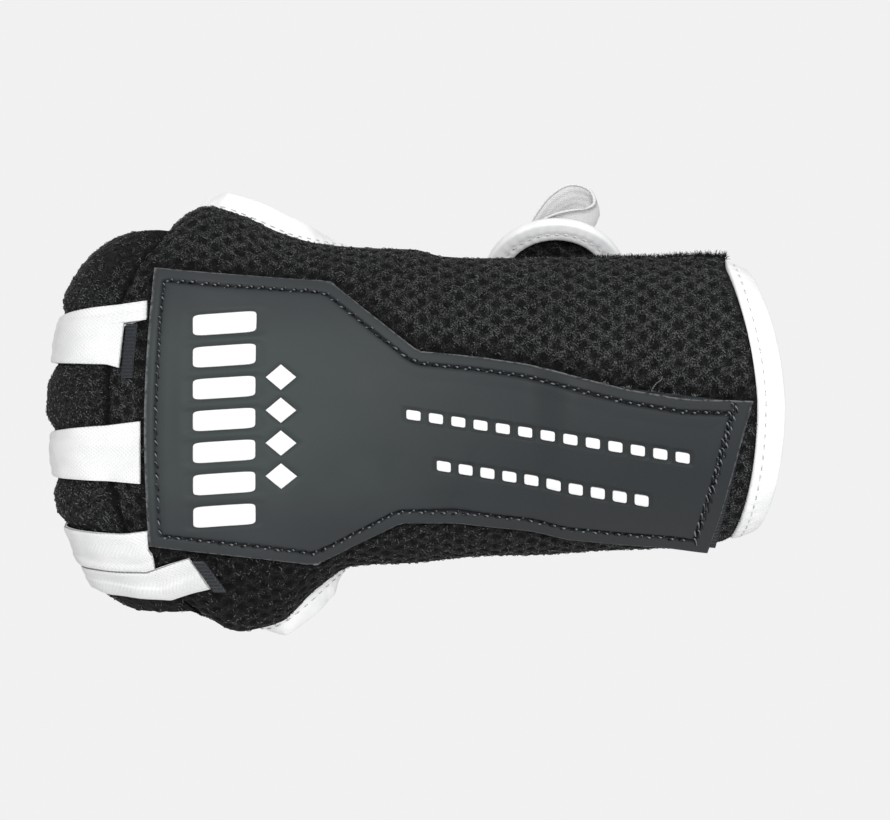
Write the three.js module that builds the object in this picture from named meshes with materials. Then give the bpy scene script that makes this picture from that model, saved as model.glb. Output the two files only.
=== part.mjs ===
import * as THREE from "three";

// Glove liner for the left hand, in the form that it has on a closed fist.
// Millimetres. +X points out of the wrist opening, +Z to the thumb side,
// and the back of the hand faces -Y. The origin is the middle of the wrist opening.
// An angle round the glove is 0 on the back of the hand, 90 on the thumb side,
// 180 on the palm side and 270 or -90 on the pinky side.

const SEAM_GAP = 0.3;
const MESH_WALL = 3;
const PAD_WALL = 8;
const PAD_EDGE_WALL = 2.8;
const RUBBER_WALL = 2;
const BACKING_WALL = 1.2;
const TAPE_WALL = 1;
const TAPE_LIFT = 0.75;
const HEM_WIDTH = 6;
const BINDING_WIDTH = 6.1;
const BINDING_WALL = 3.6;
const CHAMFER_SHARE = 0.6;
const TUCK_DEPTH = 4.3;
const TUCK_FROM_ANGLE = 90;
const TUCK_TO_ANGLE = 110;
const STRAP_FROM_ANGLE = 70;
const STRAP_TO_ANGLE = 263.8;
const BAND_FROM_ANGLE = 93.4;
const BAND_TO_ANGLE = 266.6;
const HEM_FROM_ANGLE = 79;
const HEM_TO_ANGLE = -286;

// Outer edge of the wrist hem: its bows on the back and on the palm side, and its slant back
// to the thumb side.
const HEM = { x: -3.5, backBow: 5.3, backPower: 1.5, palmBow: 2, thumbSlant: 2.5, thumbPower: 1 };

// Outer sections of the body from the wrist to the knuckles.
const BODY = [
  { x: 4, thumb: 30.4, pinky: -30.4, back: -23, palm: 22.5, power: 2.2 },
  { x: -2, thumb: 30.6, pinky: -30.8, back: -23.2, palm: 22.6, power: 2.2 },
  { x: -7, thumb: 31.4, pinky: -32.3, back: -23.9, palm: 23.1, power: 2.2 },
  { x: -12.5, thumb: 33.9, pinky: -34, back: -24.7, palm: 23.6, power: 2.2 },
  { x: -18, thumb: 34.5, pinky: -35.1, back: -25.3, palm: 24.1, power: 2.2 },
  { x: -40, thumb: 34.5, pinky: -36.2, back: -26.5, palm: 25, power: 2.3 },
  { x: -70, thumb: 34.2, pinky: -37.6, back: -27.5, palm: 25, power: 2.4 },
  { x: -78, thumb: 34.6, pinky: -38, back: -28, palm: 24.5, power: 2.4 },
  { x: -85, thumb: 36.2, pinky: -38.6, back: -28.5, palm: 24, power: 2.5 },
  { x: -100, thumb: 36.6, pinky: -40, back: -29.5, palm: 23, power: 2.5 },
  { x: -108, thumb: 37.4, pinky: -45, back: -30, palm: 22, power: 2.5 },
  { x: -117, thumb: 40, pinky: -53, back: -30.5, palm: 20.5, power: 2.5 },
  { x: -126, thumb: 44, pinky: -54.8, back: -31, palm: 19.5, power: 2.5 },
  { x: -134, thumb: 45.9, pinky: -52.2, back: -31, palm: 18.3, power: 2.5 },
  { x: -138, thumb: 44.4, pinky: -51.3, back: -30.9, palm: 17.9, power: 2.5 },
  { x: -142, thumb: 42.1, pinky: -51, back: -30.6, palm: 17.3, power: 2.5 },
  { x: -148, thumb: 40.2, pinky: -50.4, back: -30, palm: 16.5, power: 2.5 },
  { x: -157, thumb: 39.5, pinky: -48.5, back: -29, palm: 15, power: 2.5 },
];

// Seam between the back and the knuckle pad, seen from the back.
const SEAM = {
  frontX: -156.3,
  middleX: -145,
  midZ: -3,
  thumbRise: 12.3,
  thumbReach: 43.3,
  pinkyRise: 19.3,
  pinkyReach: 47.4,
  power: 2.9,
};

// Outline of the front of the pad, seen from the back.
const PAD = {
  baseX: -147,
  depth: 22.8,
  midZ: -5,
  halfBreadth: 45.5,
  thumbPower: 2.4,
  pinkyPower: 2.1,
  topZ: 40,
  bottomZ: -50,
  frontY: -6,
  palmDepth: 28,
  curl: 0.5,
  roundness: 0.83,
  reach: 0.9,
  leastPalmFullness: 0.45,
  wallPowerAcross: 0.5,
  wallPowerAlong: 0.7,
};

// Front edge of the palm strap and of the finger band, and the band's rear edge.
const STRAP_FRONT = [
  { angle: 70, x: -99 },
  { angle: 97, x: -98 },
  { angle: 115, x: -87.5 },
  { angle: 145, x: -79 },
  { angle: 180, x: -77 },
  { angle: 220, x: -83 },
  { angle: 245, x: -92.5 },
  { angle: 264, x: -99 },
];
const BAND_REAR = [
  { angle: 93, x: -137.6 },
  { angle: 110, x: -137.4 },
  { angle: 140, x: -135.4 },
  { angle: 180, x: -132.4 },
  { angle: 220, x: -128.4 },
  { angle: 250, x: -125.6 },
  { angle: 267, x: -124.6 },
];
const BAND_FRONT = [
  { angle: 93, x: -141.5 },
  { angle: 105, x: -143.2 },
  { angle: 125, x: -147 },
  { angle: 180, x: -147.5 },
  { angle: 235, x: -146.5 },
  { angle: 255, x: -141 },
  { angle: 267, x: -135.5 },
];

// Palm opening where its binding meets the cloth, and how far the binding flares out.
const PALM_EDGE = [
  { x: -101, angle: 97, flare: 20 },
  { x: -107, angle: 92, flare: 38 },
  { x: -115, angle: 90, flare: 66 },
  { x: -124, angle: 89, flare: 70 },
  { x: -131, angle: 90, flare: 62 },
  { x: -135.4, angle: 97, flare: 40 },
  { x: -136, angle: 110, flare: 18 },
  { x: -134, angle: 140, flare: 12 },
  { x: -131, angle: 180, flare: 12 },
  { x: -127, angle: 220, flare: 12 },
  { x: -124, angle: 250, flare: 18 },
  { x: -122.6, angle: 262, flare: 24 },
  { x: -118, angle: 269, flare: 46 },
  { x: -112, angle: 270, flare: 48 },
  { x: -106.2, angle: 266.9, flare: 47 },
  { x: -102.3, angle: 260.6, flare: 24 },
  { x: -94, angle: 245, flare: 15 },
  { x: -84.5, angle: 220, flare: 12 },
  { x: -78.5, angle: 180, flare: 12 },
  { x: -80.5, angle: 145, flare: 12 },
  { x: -90.5, angle: 115, flare: 20 },
];

// Where the back panel ends on the thumb side and on the pinky side.
const PANEL_EDGES = [
  { x: 4, thumb: 80, pinky: -95.4 },
  { x: -91, thumb: 80, pinky: -95.4 },
  { x: -97, thumb: 82, pinky: -91 },
  { x: -101, thumb: 84, pinky: -87 },
  { x: -107, thumb: 86, pinky: -86.6 },
  { x: -121, thumb: 86, pinky: -86.6 },
  { x: -126, thumb: 86, pinky: -92.6 },
  { x: -134.5, thumb: 86.5, pinky: -92.6 },
  { x: -137, thumb: 92.5, pinky: -92.6 },
  { x: -157, thumb: 92.5, pinky: -92.6 },
];

// Patch outline seen from the back: a row for each line across it, from the knuckles to the wrist.
const PATCH = [
  { topX: -144.9, topZ: 30.1, bottomX: -146.2, bottomZ: -33.6 },
  { topX: -104.4, topZ: 26.8, bottomX: -108.5, bottomZ: -38 },
  { topX: -83.8, topZ: 11.1, bottomX: -88, bottomZ: -28 },
  { topX: -69.4, topZ: 9.7, bottomX: -74, bottomZ: -28.3 },
  { topX: -58.2, topZ: 8.1, bottomX: -60.4, bottomZ: -29.5 },
  { topX: -45.6, topZ: 4.8, bottomX: -48.6, bottomZ: -31 },
  { topX: -35.2, topZ: 2.3, bottomX: -36.3, bottomZ: -32.3 },
  { topX: -22.4, topZ: 0.2, bottomX: -25, bottomZ: -33.2 },
  { topX: -6.2, topZ: -0.3, bottomX: -16, bottomZ: -34.4 },
];
const PATCH_LEFT_BOW = 1.4;
const PATCH_BOW_SHARE = 0.2;
const BACKING = [
  { topX: -44, topZ: 3.6, bottomX: -46, bottomZ: -30.3 },
  { topX: -6.6, topZ: -0.8, bottomX: -14, bottomZ: -33.9 },
];
const PATCH_LIFT = 0.8;
const PATCH_LIFT_FROM_X = -58;
const PATCH_LIFT_TO_X = -48;
const DRAPE_LIMIT = 0.74;
const DRAPE_STEP = 0.5;
const WIDEST_RATIO = 0.995;
const OUTLINE_STEP = 9;

// Finger tapes. start is the line of their end by the patch: pairs of the share of the tape's
// breadth and the place along x. z is the middle of the tape, and half its half breadth,
// as seen from the back.
const TAPES = [
  {
    name: "finger_tape_1",
    start: [[0, -146.6], [0.3, -146.6], [0.33, -151.9], [0.65, -152.4], [1, -153]],
    startZ: 15, seamZ: 14.9, frontZ: 13.6, palmZ: 13, startHalf: 7.7, frontHalf: 4.9,
  },
  {
    name: "finger_tape_2",
    start: [[0, -148], [0.25, -148], [0.5, -148], [0.75, -148], [1, -148]],
    startZ: -12.2, seamZ: -12.4, frontZ: -12.7, palmZ: -6.5, startHalf: 7.2, frontHalf: 4.7,
  },
  {
    name: "finger_tape_3",
    start: [[0, -147.7], [0.3, -147.7], [0.62, -147.7], [0.7, -145.4], [1, -145]],
    startZ: -34.6, seamZ: -35.3, frontZ: -33.4, palmZ: -24, startHalf: 4.3, frontHalf: 4.2,
  },
  {
    name: "finger_tape_4",
    start: [[0, -137], [0.25, -135.75], [0.5, -134.5], [0.75, -133.25], [1, -132]],
    startZ: -40, seamZ: -43.5, frontZ: -40.9, palmZ: -39.8, startHalf: 3.4, frontHalf: 2.5,
  },
];
const TAPE_SEAM_AT = 0.2;
const TAPE_PAD_END_AT = 0.74;
const TAPE_BAND_AT = 0.88;
const TAPE_BAND_LENGTH = 5.5;

// Breadth of the palm side that the tapes come down on.
const PALM_MID_Z = -5;
const PALM_HALF_Z = 46;

// Dark twill tabs by the ends of the first and last tapes, seen from the back: left and right
// are the ends of their top edge, and lean is how far along x their bottom edge is moved.
const ANCHOR_TABS = [
  { name: "anchor_tab_upper", left: -151.4, right: -148.9, top: 17.4, bottom: 5, lean: -1.1 },
  { name: "anchor_tab_lower", left: -136.2, right: -133.6, top: -37.4, bottom: -44.4, lean: 5 },
];

// Round grip tab: it leaves the strap at leafAngle and stands up straight from there.
const TAB = {
  midX: -50.7,
  leafAngle: 132,
  offStrap: 2.3,
  degreesPerMm: 2,
  radius: 17.5,
  arcHeight: 2.7,
  skirt: 10,
  fieldBreadth: 0.97,
  border: 5.2,
  borderWall: 3.2,
  gap: 0.8,
  wall: 2.6,
};

// Pull loop: middle line of its tape from one sewn end to the other, as the place along x,
// the distance off the tab and the height up the tab.
const LOOP = [
  { x: -55, away: 3.2, height: 9.6 },
  { x: -50.4, away: 3.1, height: 13.6 },
  { x: -46, away: 3.3, height: 15.2 },
  { x: -42.2, away: 4.6, height: 14.8 },
  { x: -40.8, away: 7, height: 15.4 },
  { x: -42.2, away: 9.6, height: 16.6 },
  { x: -45.6, away: 10.4, height: 17.7 },
  { x: -49.4, away: 9, height: 16.6 },
  { x: -53, away: 6.8, height: 13.2 },
  { x: -55.2, away: 5, height: 8.6 },
];
const LOOP_TAPE_WIDTH = 11;

// Steps along and across each sheet, and along each binding.
const STEPS = {
  panel: [20, 20], band: [3, 18], strap: [9, 22], pad: [16, 14], backing: [5, 6], anchorTab: [2, 4],
  closureTab: [10, 7], loop: [22, 2], tape: 25, patch: 10, wristBinding: 48, palmBinding: 66,
};

const BLACK_MESH = { color: 0x2b2c2d, roughness: 0.85, metalness: 0 };
const BLACK_PAD = { color: 0x26272a, roughness: 0.8, metalness: 0 };
const GREY_RUBBER = { color: 0x494e4e, roughness: 0.55, metalness: 0 };
const BLACK_TWILL = { color: 0x1c1f2a, roughness: 0.85, metalness: 0 };
const WHITE_TAPE = { color: 0xf1f3f4, roughness: 0.85, metalness: 0 };
const WHITE_BINDING = { color: 0xf6f8f8, roughness: 0.6, metalness: 0 };
const GREY_TAPE = { color: 0xd6d8d7, roughness: 0.8, metalness: 0 };

const radians = THREE.MathUtils.degToRad;
const lerp = THREE.MathUtils.lerp;
const smooth = (value, from, to) => THREE.MathUtils.smoothstep(value, from, to);

// Smooth interpolation of one column of a table along another, without overshoot.
function tableValue(table, keyColumn, column, at) {
  const rising = table[0][keyColumn] < table[table.length - 1][keyColumn];
  const rows = rising ? table : [...table].reverse();
  const last = rows.length - 1;
  const key = THREE.MathUtils.clamp(at, rows[0][keyColumn], rows[last][keyColumn]);
  let index = 0;
  while (index < last - 1 && rows[index + 1][keyColumn] < key) {
    index += 1;
  }
  const step = (i) => rows[i + 1][keyColumn] - rows[i][keyColumn];
  const slope = (i) => (rows[i + 1][column] - rows[i][column]) / step(i);
  const tangent = (i) => {
    if (i === 0) {
      return slope(0);
    }
    if (i === last) {
      return slope(last - 1);
    }
    const before = slope(i - 1);
    const after = slope(i);
    return before * after <= 0 ? 0 : (2 * before * after) / (before + after);
  };
  const width = step(index);
  const t = (key - rows[index][keyColumn]) / width;
  const startTerm = (2 * t * t * t - 3 * t * t + 1) * rows[index][column];
  const endTerm = (3 * t * t - 2 * t * t * t) * rows[index + 1][column];
  const startSlope = (t * t * t - 2 * t * t + t) * width * tangent(index);
  const endSlope = (t * t * t - t * t) * width * tangent(index + 1);
  return startTerm + endTerm + startSlope + endSlope;
}

function sectionAt(x) {
  const value = (column) => tableValue(BODY, "x", column, x);
  const thumb = value("thumb");
  const pinky = value("pinky");
  const back = value("back");
  const palm = value("palm");
  return {
    power: value("power"),
    midZ: (thumb + pinky) / 2,
    halfZ: (thumb - pinky) / 2,
    midY: (back + palm) / 2,
    halfY: (palm - back) / 2,
  };
}

const signedPower = (value, power) => Math.sign(value) * Math.abs(value) ** power;

// Point of the body's outer surface, set in by the given depth.
function bodyPoint(x, angle, inset = 0) {
  const section = sectionAt(x);
  const exponent = 2 / section.power;
  const across = signedPower(Math.cos(radians(angle)), exponent);
  const along = signedPower(Math.sin(radians(angle)), exponent);
  return new THREE.Vector3(
    x,
    section.midY - (section.halfY - inset) * across,
    section.midZ + (section.halfZ - inset) * along,
  );
}

// Depth of the body's surface at x and z: side is -1 on the back and 1 on the palm.
function surfaceY(x, z, side) {
  const section = sectionAt(x);
  const ratio = Math.min(Math.abs(z - section.midZ) / section.halfZ, WIDEST_RATIO);
  return section.midY + side * section.halfY * (1 - ratio ** section.power) ** (1 / section.power);
}

// The same depth on the back, but straight on from where the body turns under a stiff sheet.
function drapeY(x, z) {
  const section = sectionAt(x);
  const limit = section.midZ + Math.sign(z - section.midZ) * section.halfZ * DRAPE_LIMIT;
  const past = Math.abs(z - section.midZ) - section.halfZ * DRAPE_LIMIT;
  if (past <= 0) {
    return surfaceY(x, z, -1);
  }
  const nearby = limit - Math.sign(limit - section.midZ) * DRAPE_STEP;
  const slope = (surfaceY(x, limit, -1) - surfaceY(x, nearby, -1)) / DRAPE_STEP;
  return surfaceY(x, limit, -1) + slope * past;
}

// Outer edge of the wrist hem at an angle round the glove.
function hemX(angle) {
  const facing = Math.cos(radians(angle));
  const bow = facing > 0 ? HEM.backBow * facing ** HEM.backPower : -HEM.palmBow * facing;
  const sideways = Math.max(Math.sin(radians(angle)), 0);
  return HEM.x + bow - HEM.thumbSlant * sideways ** HEM.thumbPower;
}

function seamX(z) {
  const thumbSide = z > SEAM.midZ;
  const rise = thumbSide ? SEAM.thumbRise : SEAM.pinkyRise;
  const reach = thumbSide ? SEAM.thumbReach : SEAM.pinkyReach;
  return SEAM.frontX + rise * (Math.abs(z - SEAM.midZ) / reach) ** SEAM.power;
}

// Point of the pad's outer surface: t runs from the seam round the front to the palm edge.
function padPoint(z, t) {
  const ratio = Math.min(Math.abs(z - PAD.midZ) / PAD.halfBreadth, 1);
  const power = z > PAD.midZ ? PAD.thumbPower : PAD.pinkyPower;
  const fullness = (1 - ratio ** power) ** (1 / power);
  const startX = seamX(z) - SEAM_GAP;
  const startY = surfaceY(seamX(z), z, -1);
  const frontX = PAD.baseX - PAD.depth * fullness;
  const endY = PAD.frontY + PAD.palmDepth * Math.max(fullness, PAD.leastPalmFullness);
  const endX = lerp(frontX, startX, PAD.curl);
  if (t <= 0.5) {
    const turn = radians(180 * t);
    return new THREE.Vector3(
      startX - (startX - frontX) * Math.sin(turn) ** PAD.roundness,
      PAD.frontY - (PAD.frontY - startY) * Math.cos(turn) ** PAD.roundness,
      z,
    );
  }
  const turn = radians(180 * (t - 0.5) * PAD.reach);
  return new THREE.Vector3(
    endX - (endX - frontX) * Math.cos(turn) ** PAD.roundness,
    PAD.frontY + (endY - PAD.frontY) * Math.sin(turn) ** PAD.roundness,
    z,
  );
}

const valueAt = (value, u, v) => (typeof value === "function" ? value(u, v) : value);

// Places from 0 to 1: a count gives even steps, and a list is taken as it is.
function stepList(grid) {
  return Array.isArray(grid) ? grid : Array.from({ length: grid + 1 }, (_, i) => i / grid);
}

// Closed body between two copies of a surface: the inner one at the offset inner along the
// outward normal and the outer one a wall further out. outward is 1 or -1 and turns the normal.
function shell(surface, gridU, gridV, wall, inner, outward) {
  const nudge = 0.002;
  const points = [];
  const stepsU = stepList(gridU);
  const stepsV = stepList(gridV);
  const countU = stepsU.length - 1;
  const countV = stepsV.length - 1;
  const normalAt = (u, v) => {
    const low = (value) => Math.max(value - nudge, 0);
    const high = (value) => Math.min(value + nudge, 1);
    const alongU = surface(high(u), v).sub(surface(low(u), v));
    const alongV = surface(u, high(v)).sub(surface(u, low(v)));
    return alongU.cross(alongV).normalize().multiplyScalar(outward);
  };
  for (const sheet of [0, 1]) {
    for (const u of stepsU) {
      for (const v of stepsV) {
        const offset = valueAt(inner, u, v) + (sheet === 0 ? valueAt(wall, u, v) : 0);
        points.push(surface(u, v).addScaledVector(normalAt(u, v), offset));
      }
    }
  }
  const row = countV + 1;
  const sheetSize = (countU + 1) * row;
  const at = (sheet, i, j) => sheet * sheetSize + i * row + j;
  const faces = [];
  const quad = (a, b, c, d) => faces.push(a, b, c, a, c, d);
  for (let i = 0; i < countU; i += 1) {
    for (let j = 0; j < countV; j += 1) {
      quad(at(0, i, j), at(0, i + 1, j), at(0, i + 1, j + 1), at(0, i, j + 1));
      quad(at(1, i, j), at(1, i, j + 1), at(1, i + 1, j + 1), at(1, i + 1, j));
    }
  }
  for (let i = 0; i < countU; i += 1) {
    quad(at(0, i, 0), at(1, i, 0), at(1, i + 1, 0), at(0, i + 1, 0));
    quad(at(0, i, countV), at(0, i + 1, countV), at(1, i + 1, countV), at(1, i, countV));
  }
  for (let j = 0; j < countV; j += 1) {
    quad(at(0, 0, j), at(0, 0, j + 1), at(1, 0, j + 1), at(1, 0, j));
    quad(at(0, countU, j), at(1, countU, j), at(1, countU, j + 1), at(0, countU, j + 1));
  }
  return closedGeometry(points, faces);
}

// Body swept through frames of {point, across, up}, with a flat strip as its section.
function strip(frames, from, to, thickness, closed) {
  const half = thickness / 2;
  const chamfer = half * CHAMFER_SHARE;
  const outline = [
    [from, half], [to - chamfer, half], [to, half - chamfer],
    [to, chamfer - half], [to - chamfer, -half], [from, -half],
  ];
  const sides = outline.length;
  const points = [];
  for (const frame of frames) {
    for (const [across, up] of outline) {
      const point = frame.point.clone().addScaledVector(frame.across, across);
      points.push(point.addScaledVector(frame.up, up));
    }
  }
  const faces = [];
  const spans = closed ? frames.length : frames.length - 1;
  for (let i = 0; i < spans; i += 1) {
    const next = (i + 1) % frames.length;
    for (let j = 0; j < sides; j += 1) {
      const k = (j + 1) % sides;
      faces.push(i * sides + j, next * sides + j, next * sides + k);
      faces.push(i * sides + j, next * sides + k, i * sides + k);
    }
  }
  if (!closed) {
    const lastRing = (frames.length - 1) * sides;
    for (let j = 1; j < sides - 1; j += 1) {
      faces.push(0, j, j + 1);
      faces.push(lastRing, lastRing + j + 1, lastRing + j);
    }
  }
  return closedGeometry(points, faces);
}

// Indexed geometry with its faces turned outward.
function closedGeometry(points, faces) {
  let volume = 0;
  for (let i = 0; i < faces.length; i += 3) {
    const [a, b, c] = [points[faces[i]], points[faces[i + 1]], points[faces[i + 2]]];
    volume += a.dot(b.clone().cross(c));
  }
  const ordered = volume > 0 ? faces : [...faces].reverse();
  const geometry = new THREE.BufferGeometry();
  const numbers = points.flatMap((point) => [point.x, point.y, point.z]);
  geometry.setAttribute("position", new THREE.Float32BufferAttribute(numbers, 3));
  geometry.setIndex(ordered);
  geometry.computeVertexNormals();
  return geometry;
}

// Place along a line that runs from the wrist binding to the pad's seam at one angle.
function panelX(angle, u) {
  const nearZ = bodyPoint(SEAM.middleX, angle).z;
  const endZ = bodyPoint(seamX(nearZ), angle).z;
  return lerp(hemX(angle) - HEM_WIDTH - SEAM_GAP, seamX(endZ) + 2 * SEAM_GAP, u);
}

function backPanel() {
  const surface = (u, v) => {
    const thumb = tableValue(PANEL_EDGES, "x", "thumb", panelX(90, u));
    const pinky = tableValue(PANEL_EDGES, "x", "pinky", panelX(-90, u));
    const angle = lerp(thumb, pinky, v);
    return bodyPoint(panelX(angle, u), angle);
  };
  return shell(surface, ...STEPS.panel, MESH_WALL, -MESH_WALL, 1);
}

function fingerBand() {
  const surface = (u, v) => {
    const angle = lerp(BAND_FROM_ANGLE, BAND_TO_ANGLE, v);
    const rear = tableValue(BAND_REAR, "angle", "x", angle);
    const x = lerp(rear, tableValue(BAND_FRONT, "angle", "x", angle), u);
    return bodyPoint(x, angle);
  };
  return shell(surface, ...STEPS.band, MESH_WALL, -MESH_WALL, -1);
}

// How far the strap's thumb end is tucked under the back panel.
function tuckAt(angle) {
  return TUCK_DEPTH * (1 - smooth(angle, TUCK_FROM_ANGLE, TUCK_TO_ANGLE));
}

function palmStrap() {
  const surface = (u, v) => {
    const angle = lerp(STRAP_FROM_ANGLE, STRAP_TO_ANGLE, v);
    const wristX = hemX(angle) - HEM_WIDTH - SEAM_GAP;
    const x = lerp(wristX, tableValue(STRAP_FRONT, "angle", "x", angle), u);
    return bodyPoint(x, angle, tuckAt(angle));
  };
  return shell(surface, ...STEPS.strap, MESH_WALL, -MESH_WALL, -1);
}

function knucklePad() {
  const surface = (u, v) => padPoint(lerp(PAD.topZ, PAD.bottomZ, u), v);
  const wall = (u, v) => {
    const across = Math.sin(Math.PI * u) ** PAD.wallPowerAcross;
    const fullness = across * Math.sin(Math.PI * v) ** PAD.wallPowerAlong;
    return lerp(PAD_EDGE_WALL, PAD_WALL, fullness);
  };
  return shell(surface, ...STEPS.pad, wall, (u, v) => -wall(u, v), -1);
}

// Point on the back inside an outline given in rows, u from row to row and v down each.
function outlinePoint(rows, u, v, bow) {
  const place = u * (rows.length - 1);
  const index = Math.min(Math.floor(place), rows.length - 2);
  const t = place - index;
  const value = (column) => lerp(rows[index][column], rows[index + 1][column], t);
  const bowed = bow * Math.sin(Math.PI * v) * (1 - smooth(u, 0, PATCH_BOW_SHARE));
  const x = lerp(value("topX"), value("bottomX"), v) - bowed;
  const z = lerp(value("topZ"), value("bottomZ"), v);
  return new THREE.Vector3(x, drapeY(x, z), z);
}

// Steps along an outline that keep each of its rows and are no longer than the given length.
function outlineSteps(rows) {
  const steps = [0];
  for (let i = 1; i < rows.length; i += 1) {
    const count = Math.ceil((rows[i].topX - rows[i - 1].topX) / OUTLINE_STEP);
    for (let j = 1; j <= count; j += 1) {
      steps.push((i - 1 + j / count) / (rows.length - 1));
    }
  }
  return steps;
}

function backPatch() {
  const surface = (u, v) => outlinePoint(PATCH, u, v, PATCH_LEFT_BOW);
  const lift = (u, v) => {
    const x = surface(u, v).x;
    return PATCH_LIFT + (BACKING_WALL + SEAM_GAP) * smooth(x, PATCH_LIFT_FROM_X, PATCH_LIFT_TO_X);
  };
  return shell(surface, outlineSteps(PATCH), STEPS.patch, RUBBER_WALL, lift, -1);
}

function patchBacking() {
  const surface = (u, v) => outlinePoint(BACKING, u, v, 0);
  return shell(surface, ...STEPS.backing, BACKING_WALL, PATCH_LIFT, -1);
}

function anchorTab(tab) {
  const surface = (u, v) => {
    const x = lerp(tab.left, tab.right, u) + tab.lean * v;
    const z = lerp(tab.top, tab.bottom, v);
    return new THREE.Vector3(x, surfaceY(x, z, -1), z);
  };
  return shell(surface, ...STEPS.anchorTab, TAPE_WALL, SEAM_GAP, -1);
}

// Where the end of a tape by the patch is at a share of its breadth.
function tapeStartX(tape, v) {
  const last = tape.start.length - 2;
  const index = Math.min(tape.start.filter(([share]) => share <= v).length - 1, last);
  const [fromShare, fromX] = tape.start[index];
  const [toShare, toX] = tape.start[index + 1];
  return lerp(fromX, toX, (v - fromShare) / (toShare - fromShare));
}

// Finger tape: from the patch over the pad, across the finger gap and on to the band.
function fingerTape(tape) {
  const surface = (u, v) => {
    const startX = tapeStartX(tape, v);
    const onBack = Math.min(u / TAPE_SEAM_AT, 1);
    const pastSeam = (u - TAPE_SEAM_AT) / (TAPE_PAD_END_AT - TAPE_SEAM_AT);
    const onPad = THREE.MathUtils.clamp(pastSeam, 0, 1);
    const toFront = Math.min(onPad * 2, 1);
    const toPalm = Math.max(onPad * 2 - 1, 0);
    const middle = lerp(tape.startZ, tape.seamZ, onBack)
      + (tape.frontZ - tape.seamZ) * toFront
      + (tape.palmZ - tape.frontZ) * toPalm;
    const half = lerp(tape.startHalf, tape.frontHalf, (onBack + 2 * toFront) / 3);
    const z = middle + half * (1 - 2 * v);
    if (u < TAPE_SEAM_AT) {
      const x = lerp(startX, seamX(z), onBack);
      return new THREE.Vector3(x, surfaceY(x, z, -1), z);
    }
    if (u <= TAPE_PAD_END_AT) {
      return padPoint(z, onPad);
    }
    const sideways = THREE.MathUtils.clamp((z - PALM_MID_Z) / PALM_HALF_Z, -1, 1);
    const angle = 180 - THREE.MathUtils.radToDeg(Math.asin(sideways));
    const bandX = tableValue(BAND_FRONT, "angle", "x", angle);
    const onBand = new THREE.Vector3(bandX, surfaceY(bandX, z, 1), z);
    if (u < TAPE_BAND_AT) {
      const across = (u - TAPE_PAD_END_AT) / (TAPE_BAND_AT - TAPE_PAD_END_AT);
      return padPoint(z, 1).lerp(onBand, across);
    }
    const x = bandX + TAPE_BAND_LENGTH * ((u - TAPE_BAND_AT) / (1 - TAPE_BAND_AT));
    return new THREE.Vector3(x, surfaceY(x, z, 1), z);
  };
  const columns = tape.start.map(([share]) => share);
  return shell(surface, STEPS.tape, columns, TAPE_WALL, TAPE_LIFT, 1);
}

// Outward direction of the body's surface at a place on it.
function bodyNormal(x, angle) {
  const step = 0.5;
  const alongX = bodyPoint(x + step, angle).sub(bodyPoint(x - step, angle));
  const round = bodyPoint(x, angle + step).sub(bodyPoint(x, angle - step));
  return alongX.cross(round).normalize();
}

function wristBinding() {
  const frames = [];
  const count = STEPS.wristBinding;
  for (let i = 0; i <= count; i += 1) {
    const angle = lerp(HEM_FROM_ANGLE, HEM_TO_ANGLE, i / count);
    const tuck = angle < -180 ? tuckAt(angle + 360) : 0;
    const edge = hemX(angle);
    const point = bodyPoint(edge, angle, tuck + MESH_WALL / 2);
    const inner = bodyPoint(edge - HEM_WIDTH, angle, tuck + MESH_WALL / 2);
    const across = inner.sub(point).normalize();
    const around = bodyPoint(edge, angle - 1, tuck).sub(bodyPoint(edge, angle + 1, tuck));
    const up = around.cross(across).normalize();
    frames.push({ point, across, up });
  }
  return strip(frames, 0, HEM_WIDTH, BINDING_WALL, false);
}

function palmBinding() {
  const places = PALM_EDGE.map((row) => bodyPoint(row.x, row.angle, MESH_WALL / 2));
  const path = new THREE.CatmullRomCurve3(places, true, "centripetal");
  const count = STEPS.palmBinding;
  const frames = [];
  for (let i = 0; i < count; i += 1) {
    const t = i / count;
    const point = path.getPoint(t);
    const along = path.getTangent(t);
    const row = t * PALM_EDGE.length;
    const before = PALM_EDGE[Math.floor(row) % PALM_EDGE.length];
    const after = PALM_EDGE[(Math.floor(row) + 1) % PALM_EDGE.length];
    const share = row - Math.floor(row);
    const x = lerp(before.x, after.x, share);
    const normal = bodyNormal(x, lerp(before.angle, after.angle, share));
    const inward = along.clone().cross(normal).normalize();
    const flare = radians(lerp(before.flare, after.flare, share));
    const across = inward.multiplyScalar(Math.cos(flare)).addScaledVector(normal, Math.sin(flare));
    const up = along.clone().cross(across).normalize();
    frames.push({ point, across, up });
  }
  return strip(frames, 0, BINDING_WIDTH, BINDING_WALL, true);
}

// Point on the grip tab: height is 0 where the tab leaves the strap.
function tabPoint(x, height, away = 0) {
  const angle = TAB.leafAngle - Math.min(height, 0) * TAB.degreesPerMm;
  const normal = bodyNormal(x, angle).setX(0).normalize();
  const upward = new THREE.Vector3(0, -normal.z, normal.y);
  return bodyPoint(x, angle)
    .addScaledVector(normal, TAB.offStrap + away)
    .addScaledVector(upward, Math.max(height, 0));
}

function closureTab() {
  const radius = TAB.radius - TAB.border - TAB.gap;
  const surface = (u, v) => {
    const side = radius * TAB.fieldBreadth * (2 * u - 1);
    const top = TAB.arcHeight + Math.sqrt(radius ** 2 - side ** 2);
    return tabPoint(TAB.midX + side, lerp(-TAB.skirt, top, v));
  };
  return shell(surface, ...STEPS.closureTab, TAB.wall, -TAB.wall / 2, 1);
}

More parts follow.
